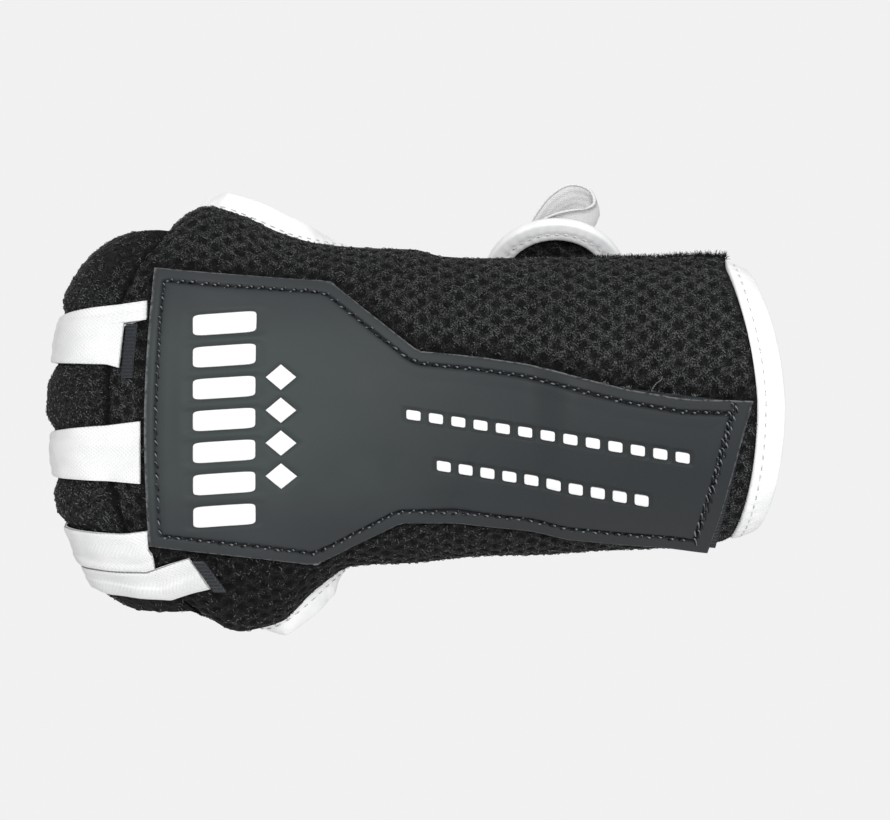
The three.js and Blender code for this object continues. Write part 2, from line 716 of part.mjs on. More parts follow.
// Middle line of the tab's binding: up one side, round the end and down the other side,
// as distances across and up the tab.
function tabEdge() {
  const radius = TAB.radius - TAB.border / 2;
  const sideSteps = 3;
  const arcSteps = 24;
  const places = [];
  for (let i = 0; i < sideSteps; i += 1) {
    places.push([-radius, lerp(-TAB.skirt, TAB.arcHeight, i / sideSteps)]);
  }
  for (let i = 0; i <= arcSteps; i += 1) {
    const turn = Math.PI * (i / arcSteps - 0.5);
    places.push([radius * Math.sin(turn), TAB.arcHeight + radius * Math.cos(turn)]);
  }
  for (let i = 1; i <= sideSteps; i += 1) {
    places.push([radius, lerp(TAB.arcHeight, -TAB.skirt, i / sideSteps)]);
  }
  return places;
}

function tabBinding() {
  const places = tabEdge();
  const points = places.map(([side, height]) => tabPoint(TAB.midX + side, height));
  const frames = points.map((point, i) => {
    const before = points[Math.max(i - 1, 0)];
    const after = points[Math.min(i + 1, points.length - 1)];
    const along = after.clone().sub(before).normalize();
    const [side, height] = places[i];
    const x = TAB.midX + side;
    const rightward = tabPoint(x + 1, height).sub(tabPoint(x - 1, height));
    const upward = tabPoint(x, height + 0.5).sub(tabPoint(x, height - 0.5));
    const up = rightward.cross(upward).normalize();
    const across = up.clone().cross(along).normalize();
    return { point, across, up };
  });
  return strip(frames, -TAB.border / 2, TAB.border / 2, TAB.borderWall, false);
}

function pullLoop() {
  const places = LOOP.map((row) => new THREE.Vector3(row.x, row.away, row.height));
  const middle = new THREE.CatmullRomCurve3(places);
  const surface = (u, v) => {
    const place = middle.getPoint(u);
    const along = middle.getTangent(u);
    const level = Math.hypot(along.x, along.y);
    const across = LOOP_TAPE_WIDTH * (0.5 - v);
    const x = place.x - across * along.z * (along.x / level);
    const away = place.y - across * along.z * (along.y / level);
    return tabPoint(x, place.z + across * level, away);
  };
  return shell(surface, ...STEPS.loop, TAPE_WALL, -TAPE_WALL / 2, 1);
}

function piece(name, geometry, look) {
  const mesh = new THREE.Mesh(geometry, new THREE.MeshStandardMaterial(look));
  mesh.name = name;
  return mesh;
}

const group = new THREE.Group();
group.add(piece("back_panel", backPanel(), BLACK_MESH));
group.add(piece("finger_band", fingerBand(), BLACK_MESH));
group.add(piece("palm_strap", palmStrap(), BLACK_MESH));
group.add(piece("knuckle_pad", knucklePad(), BLACK_PAD));
group.add(piece("back_patch", backPatch(), GREY_RUBBER));
group.add(piece("patch_backing", patchBacking(), BLACK_TWILL));
for (const tape of TAPES) {
  group.add(piece(tape.name, fingerTape(tape), WHITE_TAPE));
}
for (const tab of ANCHOR_TABS) {
  group.add(piece(tab.name, anchorTab(tab), BLACK_TWILL));
}
group.add(piece("wrist_binding", wristBinding(), WHITE_BINDING));
group.add(piece("palm_binding", palmBinding(), WHITE_BINDING));
group.add(piece("closure_tab", closureTab(), BLACK_MESH));
group.add(piece("tab_binding", tabBinding(), WHITE_BINDING));
group.add(piece("pull_loop", pullLoop(), GREY_TAPE));

export default group;
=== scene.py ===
"""Looks of a glove liner for the left hand, in the form that it has on a closed fist.

Sizes are in millimetres, and are scaled to metres where a mesh or camera is made.
+X points out of the wrist opening, +Z to the thumb side, and the back of the hand faces -Y.
An angle round the glove is 0 on the back, 90 on the thumb side, 180 on the palm side
and 270 or -90 on the pinky side.
"""
import math
from types import SimpleNamespace

import bpy
import numpy as np
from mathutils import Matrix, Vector


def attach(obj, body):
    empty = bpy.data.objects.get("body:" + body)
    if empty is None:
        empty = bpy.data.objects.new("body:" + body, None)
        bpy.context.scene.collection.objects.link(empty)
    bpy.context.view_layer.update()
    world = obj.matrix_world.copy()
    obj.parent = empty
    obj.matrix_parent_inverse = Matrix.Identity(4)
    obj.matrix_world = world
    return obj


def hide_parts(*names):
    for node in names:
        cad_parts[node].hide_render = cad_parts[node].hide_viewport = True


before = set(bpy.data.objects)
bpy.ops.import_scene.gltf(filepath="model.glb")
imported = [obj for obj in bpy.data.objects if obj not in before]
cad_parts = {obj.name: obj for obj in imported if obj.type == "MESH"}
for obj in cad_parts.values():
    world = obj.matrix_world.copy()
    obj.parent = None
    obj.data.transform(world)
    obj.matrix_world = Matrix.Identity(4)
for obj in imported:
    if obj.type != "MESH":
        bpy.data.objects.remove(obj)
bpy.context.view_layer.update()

MM = 0.001
SEAM_GAP = 0.3
MESH_WALL = 3.0
PAD_WALL = 8.0
PAD_EDGE_WALL = 2.8
RUBBER_WALL = 2.0
LIP_ROOM = 0.45
BACKING_WALL = 1.2
TAPE_WALL = 0.9
TAPE_LIFT = 0.75
ANCHOR_WALL = 1.0
HEM_WIDTH = 6.0
BINDING_WIDTH = 6.1
BINDING_WALL = 3.6
BINDING_STITCH_PITCH = 2.4
TUCK_DEPTH = 4.3
DRAPE_LIMIT = 0.74
PATCH_LIFT = 0.8
PATCH_LIFT_RANGE = (-58.0, -48.0)
PATCH_LEFT_BOW = 1.4
PATCH_ROUNDING = 9


def table(columns, rows):
    """A table with named columns, in the order of its first column."""
    values = np.array(rows, float)
    values = values[np.argsort(values[:, 0])]
    return dict(zip(columns.split(), values.T))


# Outer sections of the body from the wrist to the knuckles.
BODY = table("x thumb pinky back palm power", [
    (4, 30.4, -30.4, -23, 22.5, 2.2),
    (-2, 30.6, -30.8, -23.2, 22.6, 2.2),
    (-7, 31.4, -32.3, -23.9, 23.1, 2.2),
    (-12.5, 33.9, -34, -24.7, 23.6, 2.2),
    (-18, 34.5, -35.1, -25.3, 24.1, 2.2),
    (-40, 34.5, -36.2, -26.5, 25, 2.3),
    (-70, 34.2, -37.6, -27.5, 25, 2.4),
    (-78, 34.6, -38, -28, 24.5, 2.4),
    (-85, 36.2, -38.6, -28.5, 24, 2.5),
    (-100, 36.6, -40, -29.5, 23, 2.5),
    (-108, 37.4, -45, -30, 22, 2.5),
    (-117, 40, -53, -30.5, 20.5, 2.5),
    (-126, 44, -54.8, -31, 19.5, 2.5),
    (-134, 45.9, -52.2, -31, 18.3, 2.5),
    (-138, 44.4, -51.3, -30.9, 17.9, 2.5),
    (-142, 42.1, -51, -30.6, 17.3, 2.5),
    (-148, 40.2, -50.4, -30, 16.5, 2.5),
    (-157, 39.5, -48.5, -29, 15, 2.5),
])

# Outer edge of the wrist hem, with its bows and its slant back to the thumb side.
HEM = SimpleNamespace(x=-3.5, back_bow=5.3, back_power=1.5, palm_bow=2, thumb_slant=2.5)

# Seam between the back and the knuckle pad, seen from the back.
SEAM = SimpleNamespace(
    front_x=-156.3, mid_z=-3, thumb_rise=12.3, thumb_reach=43.3, pinky_rise=19.3, pinky_reach=47.4,
    power=2.9)

# Outline of the front of the pad, seen from the back.
PAD = SimpleNamespace(
    base_x=-147, depth=22.8, mid_z=-5, half_breadth=45.5, thumb_power=2.4, pinky_power=2.1, top_z=40,
    bottom_z=-50, front_y=-6, palm_depth=28, curl=0.5, roundness=0.83, reach=0.9)
PAD_TUCK = 1.3
PAD_CORNER_CUT = 4.0
PAD_PUFF = 2.1

STRAP_FRONT = table("angle x", [
    (70, -99), (97, -98), (115, -87.5), (145, -79), (180, -77), (220, -83), (245, -92.5), (264, -99),
])
BAND_REAR = table("angle x", [
    (93, -137.6), (110, -137.4), (140, -135.4), (180, -132.4), (220, -128.4), (250, -125.6), (267, -124.6),
])
BAND_FRONT = table("angle x", [
    (93, -141.5), (105, -143.2), (125, -147), (180, -147.5), (235, -146.5), (255, -141), (267, -135.5),
])
STRAP_ANGLES = (70, 263.8)
BAND_ANGLES = (92.7, 267.2)
BAND_MID_Z = -5.0
BAND_REACH = 46.0

# Palm opening where its binding meets the cloth: x, angle, and how far the binding flares out.
PALM_EDGE = np.array([
    (-101, 97, 20), (-107, 92, 38), (-115, 90, 66), (-124, 89, 70), (-131, 90, 62), (-135.4, 97, 40),
    (-136, 110, 18), (-134, 140, 12), (-131, 180, 12), (-127, 220, 12), (-124, 250, 18),
    (-122.6, 262, 24), (-118, 269, 46), (-112, 270, 48), (-106.2, 266.9, 47), (-102.3, 260.6, 24),
    (-94, 245, 15), (-84.5, 220, 12), (-78.5, 180, 12), (-80.5, 145, 12), (-90.5, 115, 20),
], float)

WRIST_BINDING_ANGLES = (79, -286)
WRIST_BINDING_FRAMES = 480
PALM_BINDING_FRAMES = 540
TAB_LEG_FRAMES = 15
TAB_ARC_FRAMES = 160

# Where the back panel ends on the thumb side and on the pinky side.
PANEL_EDGES = table("x thumb pinky", [
    (4, 80, -95.4), (-91, 80, -95.4), (-97, 82, -91), (-101, 84, -87), (-107, 86, -86.6),
    (-121, 86, -86.6), (-126, 86, -92.6), (-134.5, 86.5, -92.6), (-137, 92.5, -92.6), (-157, 92.5, -92.6),
])

# Patch outline seen from the back: a row for each line across it, from the knuckles to the wrist.
PATCH = table("top_x top_z bottom_x bottom_z", [
    (-144.9, 30.1, -146.2, -33.6),
    (-104.4, 26.8, -108.5, -38),
    (-83.8, 11.1, -88, -28),
    (-69.4, 9.7, -74, -28.3),
    (-58.2, 8.1, -60.4, -29.5),
    (-45.6, 4.8, -48.6, -31),
    (-35.2, 2.3, -36.3, -32.3),
    (-22.4, 0.2, -25, -33.2),
    (-6.2, -0.3, -16, -34.4),
])
BACKING = table("top_x top_z bottom_x bottom_z", [(-44, 3.6, -46, -30.3), (-6.6, -0.8, -14, -33.9)])

# Seam of the patch: how far it runs inside the sides with the knuckle end, and the wrist end.
STITCH_INSET = 2.9
END_STITCH_INSET = 4.0
STITCH_PITCH = 2.55
STITCH_SINK = 0.42
STITCH_DIPS = np.array([-0.35, 0.072, 0.12, 0.12, 0.072, -0.35])
STITCH_TAPER = np.array([0.6, 0.95, 1, 1, 0.95, 0.6])

# Plain raised shapes on the patch, and the layers of each: its scale and height.
BARS = {"x": -128.6, "top_z": 17.2, "bottom_z": -26.4, "count": 7, "half_x": 7.1, "half_z": 2.35}
DIAMONDS = {"x": -115.6, "top_z": 5.0, "bottom_z": -17.5, "count": 4, "half_x": 3.6, "half_z": 2.9}
DASH_ROWS = [
    {"start": (-85.0, -3.6), "end": (-22.6, -12.6), "count": 13},
    {"start": (-78.0, -15.0), "end": (-32.0, -21.7), "count": 10},
]
DASH_HALF_X = 1.65
DASH_HALF_Z = 1.1
PRINT_LAYERS = [(1.0, -0.55), (1.0, 0.02), (0.97, 0.14), (0.9, 0.2), (0.45, 0.22)]
PRINT_SIDES = 40

# Finger tapes: start is the line of the end by the patch, as shares of the tape's breadth and
# places along x, and z is the middle of the tape there, at the seam, at the front and on the
# palm side. fold is the share of the breadth where the tape is creased along its length.
TAPES = [
    {"name": "finger_tape_1", "start": [(0, -146.6), (0.3, -146.6), (0.33, -151.9), (1, -153)],
     "z": (15, 14.9, 13.6, 13), "half": (7.7, 4.9), "fold": 0.14},
    {"name": "finger_tape_2", "start": [(0, -148), (1, -148)],
     "z": (-12.2, -12.4, -12.7, -6.5), "half": (7.2, 4.7), "fold": 0.24},
    {"name": "finger_tape_3", "start": [(0, -146.5), (0.5, -146.4), (0.66, -145.4), (1, -145)],
     "z": (-34.6, -35.3, -33.4, -24), "half": (4.3, 4.2), "fold": 0.8},
    {"name": "finger_tape_4", "start": [(0, -137), (1, -132)],
     "z": (-40, -43, -40.9, -39.8), "half": (3.4, 2.4), "fold": 0.5},
]
TAPE_SEAM_AT = 0.2
TAPE_PAD_END_AT = 0.74
TAPE_BAND_AT = 0.88
TAPE_BAND_LENGTH = 5.5

ANCHOR_TABS = [
    {"name": "anchor_tab_upper", "left": -151.4, "right": -148.9, "top": 17.4, "bottom": 5, "lean": -1.1},
    {"name": "anchor_tab_lower", "left": -136.2, "right": -133.6, "top": -37.4, "bottom": -44.4, "lean": 5},
]

# Round grip tab: it leaves the strap at leaf_angle and stands up straight from there.
TAB = SimpleNamespace(
    mid_x=-50.7, leaf_angle=132, off_strap=2.3, degrees_per_mm=2, radius=17.5, arc_height=2.7, skirt=10,
    field_breadth=0.97, field_inset=4.8, border=5.2, wall=2.6)

# Pull loop: middle line of its tape as the place along x, the distance off the tab and the height.
LOOP = np.array([
    (-55, 3.2, 9.6), (-50.4, 3.1, 13.6), (-46, 3.3, 15.2), (-41.6, 4.6, 14.8), (-40.2, 7, 15.4),
    (-41.6, 9.6, 16.6), (-45.6, 10.4, 17.7), (-49.4, 9, 16.6), (-53, 6.8, 13.2), (-55.2, 5, 8.6),
])
LOOP_TAPE_WIDTH = 11.0
LOOP_TILT = 0.5
LOOP_TILT_RANGE = (-53, -41)

# Knitted mesh: distance between holes, height of two rows, and radius of a hole. Every second
# row is shifted by half a distance.
MESH_HOLES = (5.7, 4.5, 1.45)
PAD_HOLES = (3.4, 2.8, 0.8)

# Points along and across each sheet: each number is a multiple of INNER_STEP and one more.
INNER_STEP = 4
PANEL_GRID = (313, 249)
BAND_GRID = (33, 217)
STRAP_GRID = (121, 209)
PAD_GRID = (185, 153)
PATCH_GRID = (361, 157)
PATCH_PLAN_GRID = (161, 41)
SMALL_GRID = (81, 73)
ANCHOR_GRID = (17, 65)
TAPE_GRID = (217, 33)
LOOP_GRID = (161, 33)

# Curls of yarn on the mesh: count and seed for each sheet, and the form of a curl of four points.
CURLS = {"back_panel": (9500, 81), "finger_band": (700, 82), "palm_strap": (3000, 83),
         "knuckle_pad": (5000, 84)}
CURL_LENGTHS = (0.8, 1.9)
CURL_RADII = (0.06, 0.11)
CURL_PLACES = np.array([-0.5, -0.17, 0.17, 0.5])
CURL_HEIGHTS = np.array([-0.1, 0.14, 0.18, -0.08])
CURL_TAPER = np.array([0.7, 1, 1, 0.7])
THREAD_ASIDE = (0.31, 0.87, 0.38)

# Fibres along the raw edge, and tufts at the patch's upper edge with one loose thread.
FUZZ_COUNT = 2600
FUZZ_START_X = -10.3
FUZZ_REACH = 37
FUZZ_TAPER = np.array([1, 1, 0.9, 0.7, 0.35])
TUFTS = ((-34.9, 2.6), (-28.4, 1.3), (-23.6, 0.7), (-19.4, 0.5), (-40.5, 3.7))
TUFT_FIBRES = 16
TUFT_RADII = 0.07 * np.array([1, 1, 0.9, 0.7, 0.4])
LOOSE_THREAD = np.array([(-29.5, 1.4), (-29.2, 2.6), (-28.3, 3.8), (-27.2, 4.6), (-26.9, 5.4)])

CAMERA_PLACE = (-77.5, -900.0, -2.4)
CAMERA_LENS = 151.7
FLOOR_DROP = 900.0
FLOOR_RADIUS = 2200.0
FLOOR_SIDES = 96
BACKGROUND = 0.88
AMBIENT = 0.56

# Area lights: name, place and diameter in metres, and power in watts.
LIGHT_AIM = (-0.08, 0, 0)
LIGHTS = [
    ("key", (-0.9, -1.5, 1.1), 1.2, 6),
    ("front", (0.1, -1.68, 0.3), 0.6, 16.5),
    ("back", (-0.4, 1.6, 0.3), 1.2, 8),
    ("side", (1.3, -0.8, 0.4), 0.6, 2),
]


def lerp(start, end, share):
    return start + (end - start) * share


def smooth(value, start, end):
    share = np.clip((value - start) / (end - start), 0, 1)
    return share * share * (3 - 2 * share)


def fade(value, start, end):
    return 1 - smooth(value, start, end)


def unit(vectors):
    return vectors / np.maximum(np.linalg.norm(vectors, axis=-1, keepdims=True), 1e-9)


def dot(a, b):
    return (a * b).sum(-1)


def join(*parts):
    """Points from their coordinates."""
    return np.stack(np.broadcast_arrays(*parts), -1)


def shares(rows, columns):
    """Shares along and across a grid."""
    return np.meshgrid(np.linspace(0, 1, rows), np.linspace(0, 1, columns), indexing="ij")


def signed_power(value, power):
    return np.sign(value) * np.abs(value) ** power


def table_value(rows, column, at):
    """Smooth interpolation of one column of a table along its first one, without overshoot."""
    keys = next(iter(rows.values()))
    values = rows[column]
    slopes = np.diff(values) / np.diff(keys)
    before = slopes[:-1]
    after = slopes[1:]
    total = np.where(before + after == 0, 1, before + after)
    middle = np.where(before * after > 0, 2 * before * after / total, 0)
    tangents = np.concatenate([slopes[:1], middle, slopes[-1:]])
    at = np.clip(at, keys[0], keys[-1])
    i = np.clip(np.searchsorted(keys, at, side="right") - 1, 0, len(keys) - 2)
    width = keys[i + 1] - keys[i]
    t = (at - keys[i]) / width
    start_slope = (t**3 - 2 * t**2 + t) * width * tangents[i]
    end_slope = (t**3 - t**2) * width * tangents[i + 1]
    return lerp(values[i], values[i + 1], 3 * t**2 - 2 * t**3) + start_slope + end_slope


def section_at(x):
    """Middle and half size in z and in y, and the power of the rounding, at x."""
    thumb, pinky, back, palm, power = (table_value(BODY, column, x) for column in list(BODY)[1:])
    return (thumb + pinky) / 2, (thumb - pinky) / 2, (back + palm) / 2, (palm - back) / 2, power


def body_point(x, angle, inset=0.0):
    """Point of the body's outer surface, set in by the given depth."""
    mid_z, half_z, mid_y, half_y, power = section_at(x)
    across = signed_power(np.cos(np.radians(angle)), 2 / power)
    along = signed_power(np.sin(np.radians(angle)), 2 / power)
    return join(x, mid_y - (half_y - inset) * across, mid_z + (half_z - inset) * along)


def body_normal(x, angle):
    step = 0.5
    along_x = body_point(x + step, angle) - body_point(x - step, angle)
    around = body_point(x, angle + step) - body_point(x, angle - step)
    return unit(np.cross(along_x, around))


def surface_y(x, z, side):
    """Depth of the body's surface at x and z: side is -1 on the back and 1 on the palm."""
    mid_z, half_z, mid_y, half_y, power = section_at(x)
    ratio = np.minimum(np.abs(z - mid_z) / half_z, 0.995)
    return mid_y + side * half_y * (1 - ratio**power) ** (1 / power)


def surface_point(x, z, side):
    return join(x, surface_y(x, z, side), z)


def drape_y(x, z):
    """Depth of the back under a stiff sheet, which goes straight on where the body turns away."""
    mid_z, half_z = section_at(x)[:2]
    sign = np.where(z > mid_z, 1, -1)
    limit = mid_z + sign * half_z * DRAPE_LIMIT
    past = np.abs(z - mid_z) - half_z * DRAPE_LIMIT
    step = 0.5
    slope = (surface_y(x, limit, -1) - surface_y(x, limit - sign * step, -1)) / step
    return np.where(past <= 0, surface_y(x, z, -1), surface_y(x, limit, -1) + slope * np.maximum(past, 0))


def hem_x(angle):
    """Outer edge of the wrist hem, bowed outward on the back and on the palm side."""
    facing = np.cos(np.radians(angle))
    back_bow = HEM.back_bow * np.maximum(facing, 0) ** HEM.back_power
    palm_bow = HEM.palm_bow * np.maximum(-facing, 0)
    sideways = np.maximum(np.sin(np.radians(angle)), 0)
    return HEM.x + back_bow + palm_bow - HEM.thumb_slant * sideways


def cloth_start_x(angle):
    """Where the mesh starts behind the wrist binding."""
    return hem_x(angle) - HEM_WIDTH - SEAM_GAP


def seam_x(z):
    thumb_side = z > SEAM.mid_z
    rise = np.where(thumb_side, SEAM.thumb_rise, SEAM.pinky_rise)
    reach = np.where(thumb_side, SEAM.thumb_reach, SEAM.pinky_reach)
    return SEAM.front_x + rise * (np.abs(z - SEAM.mid_z) / reach) ** SEAM.power


def panel_x(angle, u):
    """Place along a line that runs from the wrist binding to the pad's seam at one angle."""
    near_z = body_point(-145, angle)[..., 2]
    end_z = body_point(seam_x(near_z), angle)[..., 2]
    return lerp(cloth_start_x(angle), seam_x(end_z) + 2 * SEAM_GAP, u)


def pad_point(z, t, tuck=0.0):
    """Point of the pad's outer surface: t runs from the seam round the front to the palm edge.
    tuck is how far the edge at the seam goes on under the back panel."""
    ratio = np.minimum(np.abs(z - PAD.mid_z) / PAD.half_breadth, 1)
    power = np.where(z > PAD.mid_z, PAD.thumb_power, PAD.pinky_power)
    fullness = (1 - ratio**power) ** (1 / power)
    start_x = seam_x(z) - SEAM_GAP
    start_y = surface_y(seam_x(z), z, -1)
    front_x = PAD.base_x - PAD.depth * fullness
    front_y = PAD.front_y
    end_y = front_y + PAD.palm_depth * np.maximum(fullness, 0.45)
    end_x = lerp(front_x, start_x, PAD.curl)
    turn = np.radians(180 * np.minimum(t, 0.5))
    sine, cosine = (np.maximum(wave(turn), 0) ** PAD.roundness for wave in (np.sin, np.cos))
    to_front = join(lerp(start_x + tuck, front_x, sine), lerp(front_y, start_y, cosine), z)
    turn = np.radians(180 * np.maximum(t - 0.5, 0) * PAD.reach)
    sine, cosine = (wave(turn) ** PAD.roundness for wave in (np.sin, np.cos))
    to_palm = join(lerp(end_x, front_x, cosine), lerp(front_y, end_y, sine), z)
    return np.where(np.asarray(t <= 0.5)[..., None], to_front, to_palm)


def tuck_at(angle):
    """How far the strap's thumb end is tucked under the back panel."""
    return TUCK_DEPTH * fade(angle, 90, 110)


def tab_point(x, height, away=0.0):
    """Point on the grip tab: height is 0 where the tab leaves the strap."""
    angle = TAB.leaf_angle - np.minimum(height, 0) * TAB.degrees_per_mm
    normal = unit(body_normal(x, angle) * (0, 1, 1))
    upward = join(0, -normal[..., 2], normal[..., 1])
    off = np.asarray(TAB.off_strap + away)[..., None]
    return body_point(x, angle) + normal * off + upward * np.maximum(height, 0)[..., None]


def outline_point(rows, u, v, bow=0.0, rounding=0):
    """Place on the back inside an outline given in rows, with the outline's corners rounded."""
    fine = np.linspace(0, 1, 1601)
    column = {}
    for key, values in rows.items():
        line = np.interp(fine, np.linspace(0, 1, len(values)), values)
        if rounding:
            window = 2 * rounding + 1
            ends = np.pad(line, rounding, mode="reflect", reflect_type="odd")
            line = np.convolve(ends, np.ones(window) / window, "valid")
        column[key] = np.interp(u, fine, line)
    x = lerp(column["top_x"], column["bottom_x"], v)
    x = x - bow * np.sin(math.pi * v) * fade(u, 0, 0.2)
    z = lerp(column["top_z"], column["bottom_z"], v)
    return join(x, drape_y(x, z), z)


def patch_lift(x):
    return PATCH_LIFT + (BACKING_WALL + SEAM_GAP) * smooth(x, *PATCH_LIFT_RANGE)


def patch_surface(x, z, above):
    """Point above the patch's top skin at x and z."""
    step = 0.3
    slope_x = (drape_y(x + step, z) - drape_y(x - step, z)) / (2 * step)
    slope_z = (drape_y(x, z + step) - drape_y(x, z - step)) / (2 * step)
    lift = patch_lift(x) + RUBBER_WALL + above
    return join(x, drape_y(x, z), z) + unit(join(slope_x, -1, slope_z)) * lift[..., None]


def catmull_rom(points, closed, count):
    """Centripetal curve through the points, and the place of each of its points among them."""
    if closed:
        before, after = points[-1:], points[:2]
    else:
        before, after = 2 * points[:1] - points[1:2], 2 * points[-1:] - points[-2:-1]
    spans = len(points) - (not closed)
    knots = np.concatenate([before, points, after])
    place = np.linspace(0, spans, count, endpoint=not closed)
    i = np.minimum(place.astype(int), spans - 1)
    share = (place - i)[:, None]
    p0, p1, p2, p3 = (knots[i + k] for k in range(4))
    d0, d1, d2 = (np.sqrt(np.linalg.norm(b - a, axis=1, keepdims=True))
                  for a, b in ((p0, p1), (p1, p2), (p2, p3)))
    t1 = ((p1 - p0) / d0 - (p2 - p0) / (d0 + d1) + (p2 - p1) / d1) * d1
    t2 = ((p2 - p1) / d1 - (p3 - p1) / (d1 + d2) + (p3 - p2) / d2) * d1
    cubic = 2 * p1 - 2 * p2 + t1 + t2
    square = -3 * p1 + 3 * p2 - 2 * t1 - t2
    return p1 + t1 * share + square * share**2 + cubic * share**3, place


def arc_lengths(grid, axis=0):
    """Length along one direction of a grid or line, from its start."""
    steps = np.linalg.norm(np.diff(grid, axis=axis), axis=-1)
    start = np.zeros_like(np.take(steps, [0], axis=axis))
    return np.concatenate([start, np.cumsum(steps, axis=axis)], axis=axis)


def rows_at(at, places, rows):
    """Rows interpolated at the given places along them."""
    return np.stack([np.interp(at, places, column) for column in rows.T], -1)


def resample(line, pitch, offset=0.0):
    """Places at even steps along a broken line."""
    lengths = arc_lengths(line)
    return rows_at(np.arange(offset, lengths[-1], pitch), lengths, line)


def inset_line(line, inset):
    """A line moved sideways by the inset, to its left as seen from the back."""
    along = unit(np.gradient(line, axis=0))
    return line + join(-along[:, 1], along[:, 0]) * inset


def outline_distance(x, z, line):
    """Distance from each place to a broken line, seen from the back."""
    places = join(x, z)
    nearest = np.full(x.shape, np.inf)
    for start, end in zip(line[:-1], line[1:]):
        along = end - start
        share = np.clip(dot(places - start, along) / dot(along, along), 0, 1)
        nearest = np.minimum(nearest, np.linalg.norm(places - start - share[..., None] * along, axis=-1))
    return nearest


def patch_edges(grid):
    """The side edges with the knuckle end as one line, and the wrist end from below as another."""
    plan = grid[..., [0, 2]]
    sides = np.concatenate([plan[::-4, 0], plan[0, 4::4], plan[4::4, -1]])
    return sides, plan[-1, ::-8]


def ripple(places, wavelength, seed):
    """Even random waves over places in two dimensions, from about -1 to 1."""
    draw = np.random.default_rng(seed)
    total = np.zeros(places.shape[:-1])
    for _ in range(7):
        heading = draw.uniform(0, math.pi)
        stretch = draw.uniform(0.7, 1.5)
        phase = draw.uniform(0, 2 * math.pi)
        along = places[..., 0] * math.cos(heading) + places[..., 1] * math.sin(heading)
        total += np.sin(2 * math.pi * along / (wavelength * stretch) + phase)
    return total / 3


def hole_depth(cloth, holes):
    """1 in the middle of each hole of the mesh and 0 between the holes."""
    period = np.array(holes[:2])
    radius = holes[2]
    offsets = [(np.mod(cloth / period + shift, 1) - 0.5) * period for shift in (0, 0.5)]
    nearest = np.linalg.norm(offsets, axis=-1).min(axis=0)
    return fade(nearest, radius * 0.3, radius)


def mesh_relief(cloth, depth, seed):
    holes = hole_depth(cloth + 0.25 * ripple(cloth, 9, seed)[..., None], MESH_HOLES)
    return -depth * holes + 0.22 * ripple(cloth, 26, seed + 1)


def edge_roll(distance, reach, depth):
    """How far a padded edge dips, from its rim inward."""
    return -depth * (1 - np.sqrt(np.clip(distance / reach, 0, 1)))


def cloth_map(base, angle, middle):
    """Places on the cloth in millimetres: x, and the length round the body from its middle angle."""
    lengths = arc_lengths(base, 1)
    turn = np.sign(angle[0, -1] - angle[0, 0])
    before = [np.interp(turn * middle, turn * row, length) for row, length in zip(angle, lengths)]
    return join(base[..., 0], lengths - np.array(before)[:, None])


def grid_normals(grid):
    return unit(np.cross(np.gradient(grid, axis=0), np.gradient(grid, axis=1)))


def lifted(grid, height):
    """A grid moved along its normals."""
    return grid + grid_normals(grid) * np.asarray(height)[..., None]


def relaxed(grid, passes):
    """A grid smoothed along its rows, with its ends kept."""
    for _ in range(passes):
        grid[1:-1] = (grid[:-2] + 2 * grid[1:-1] + grid[2:]) / 4
    return grid


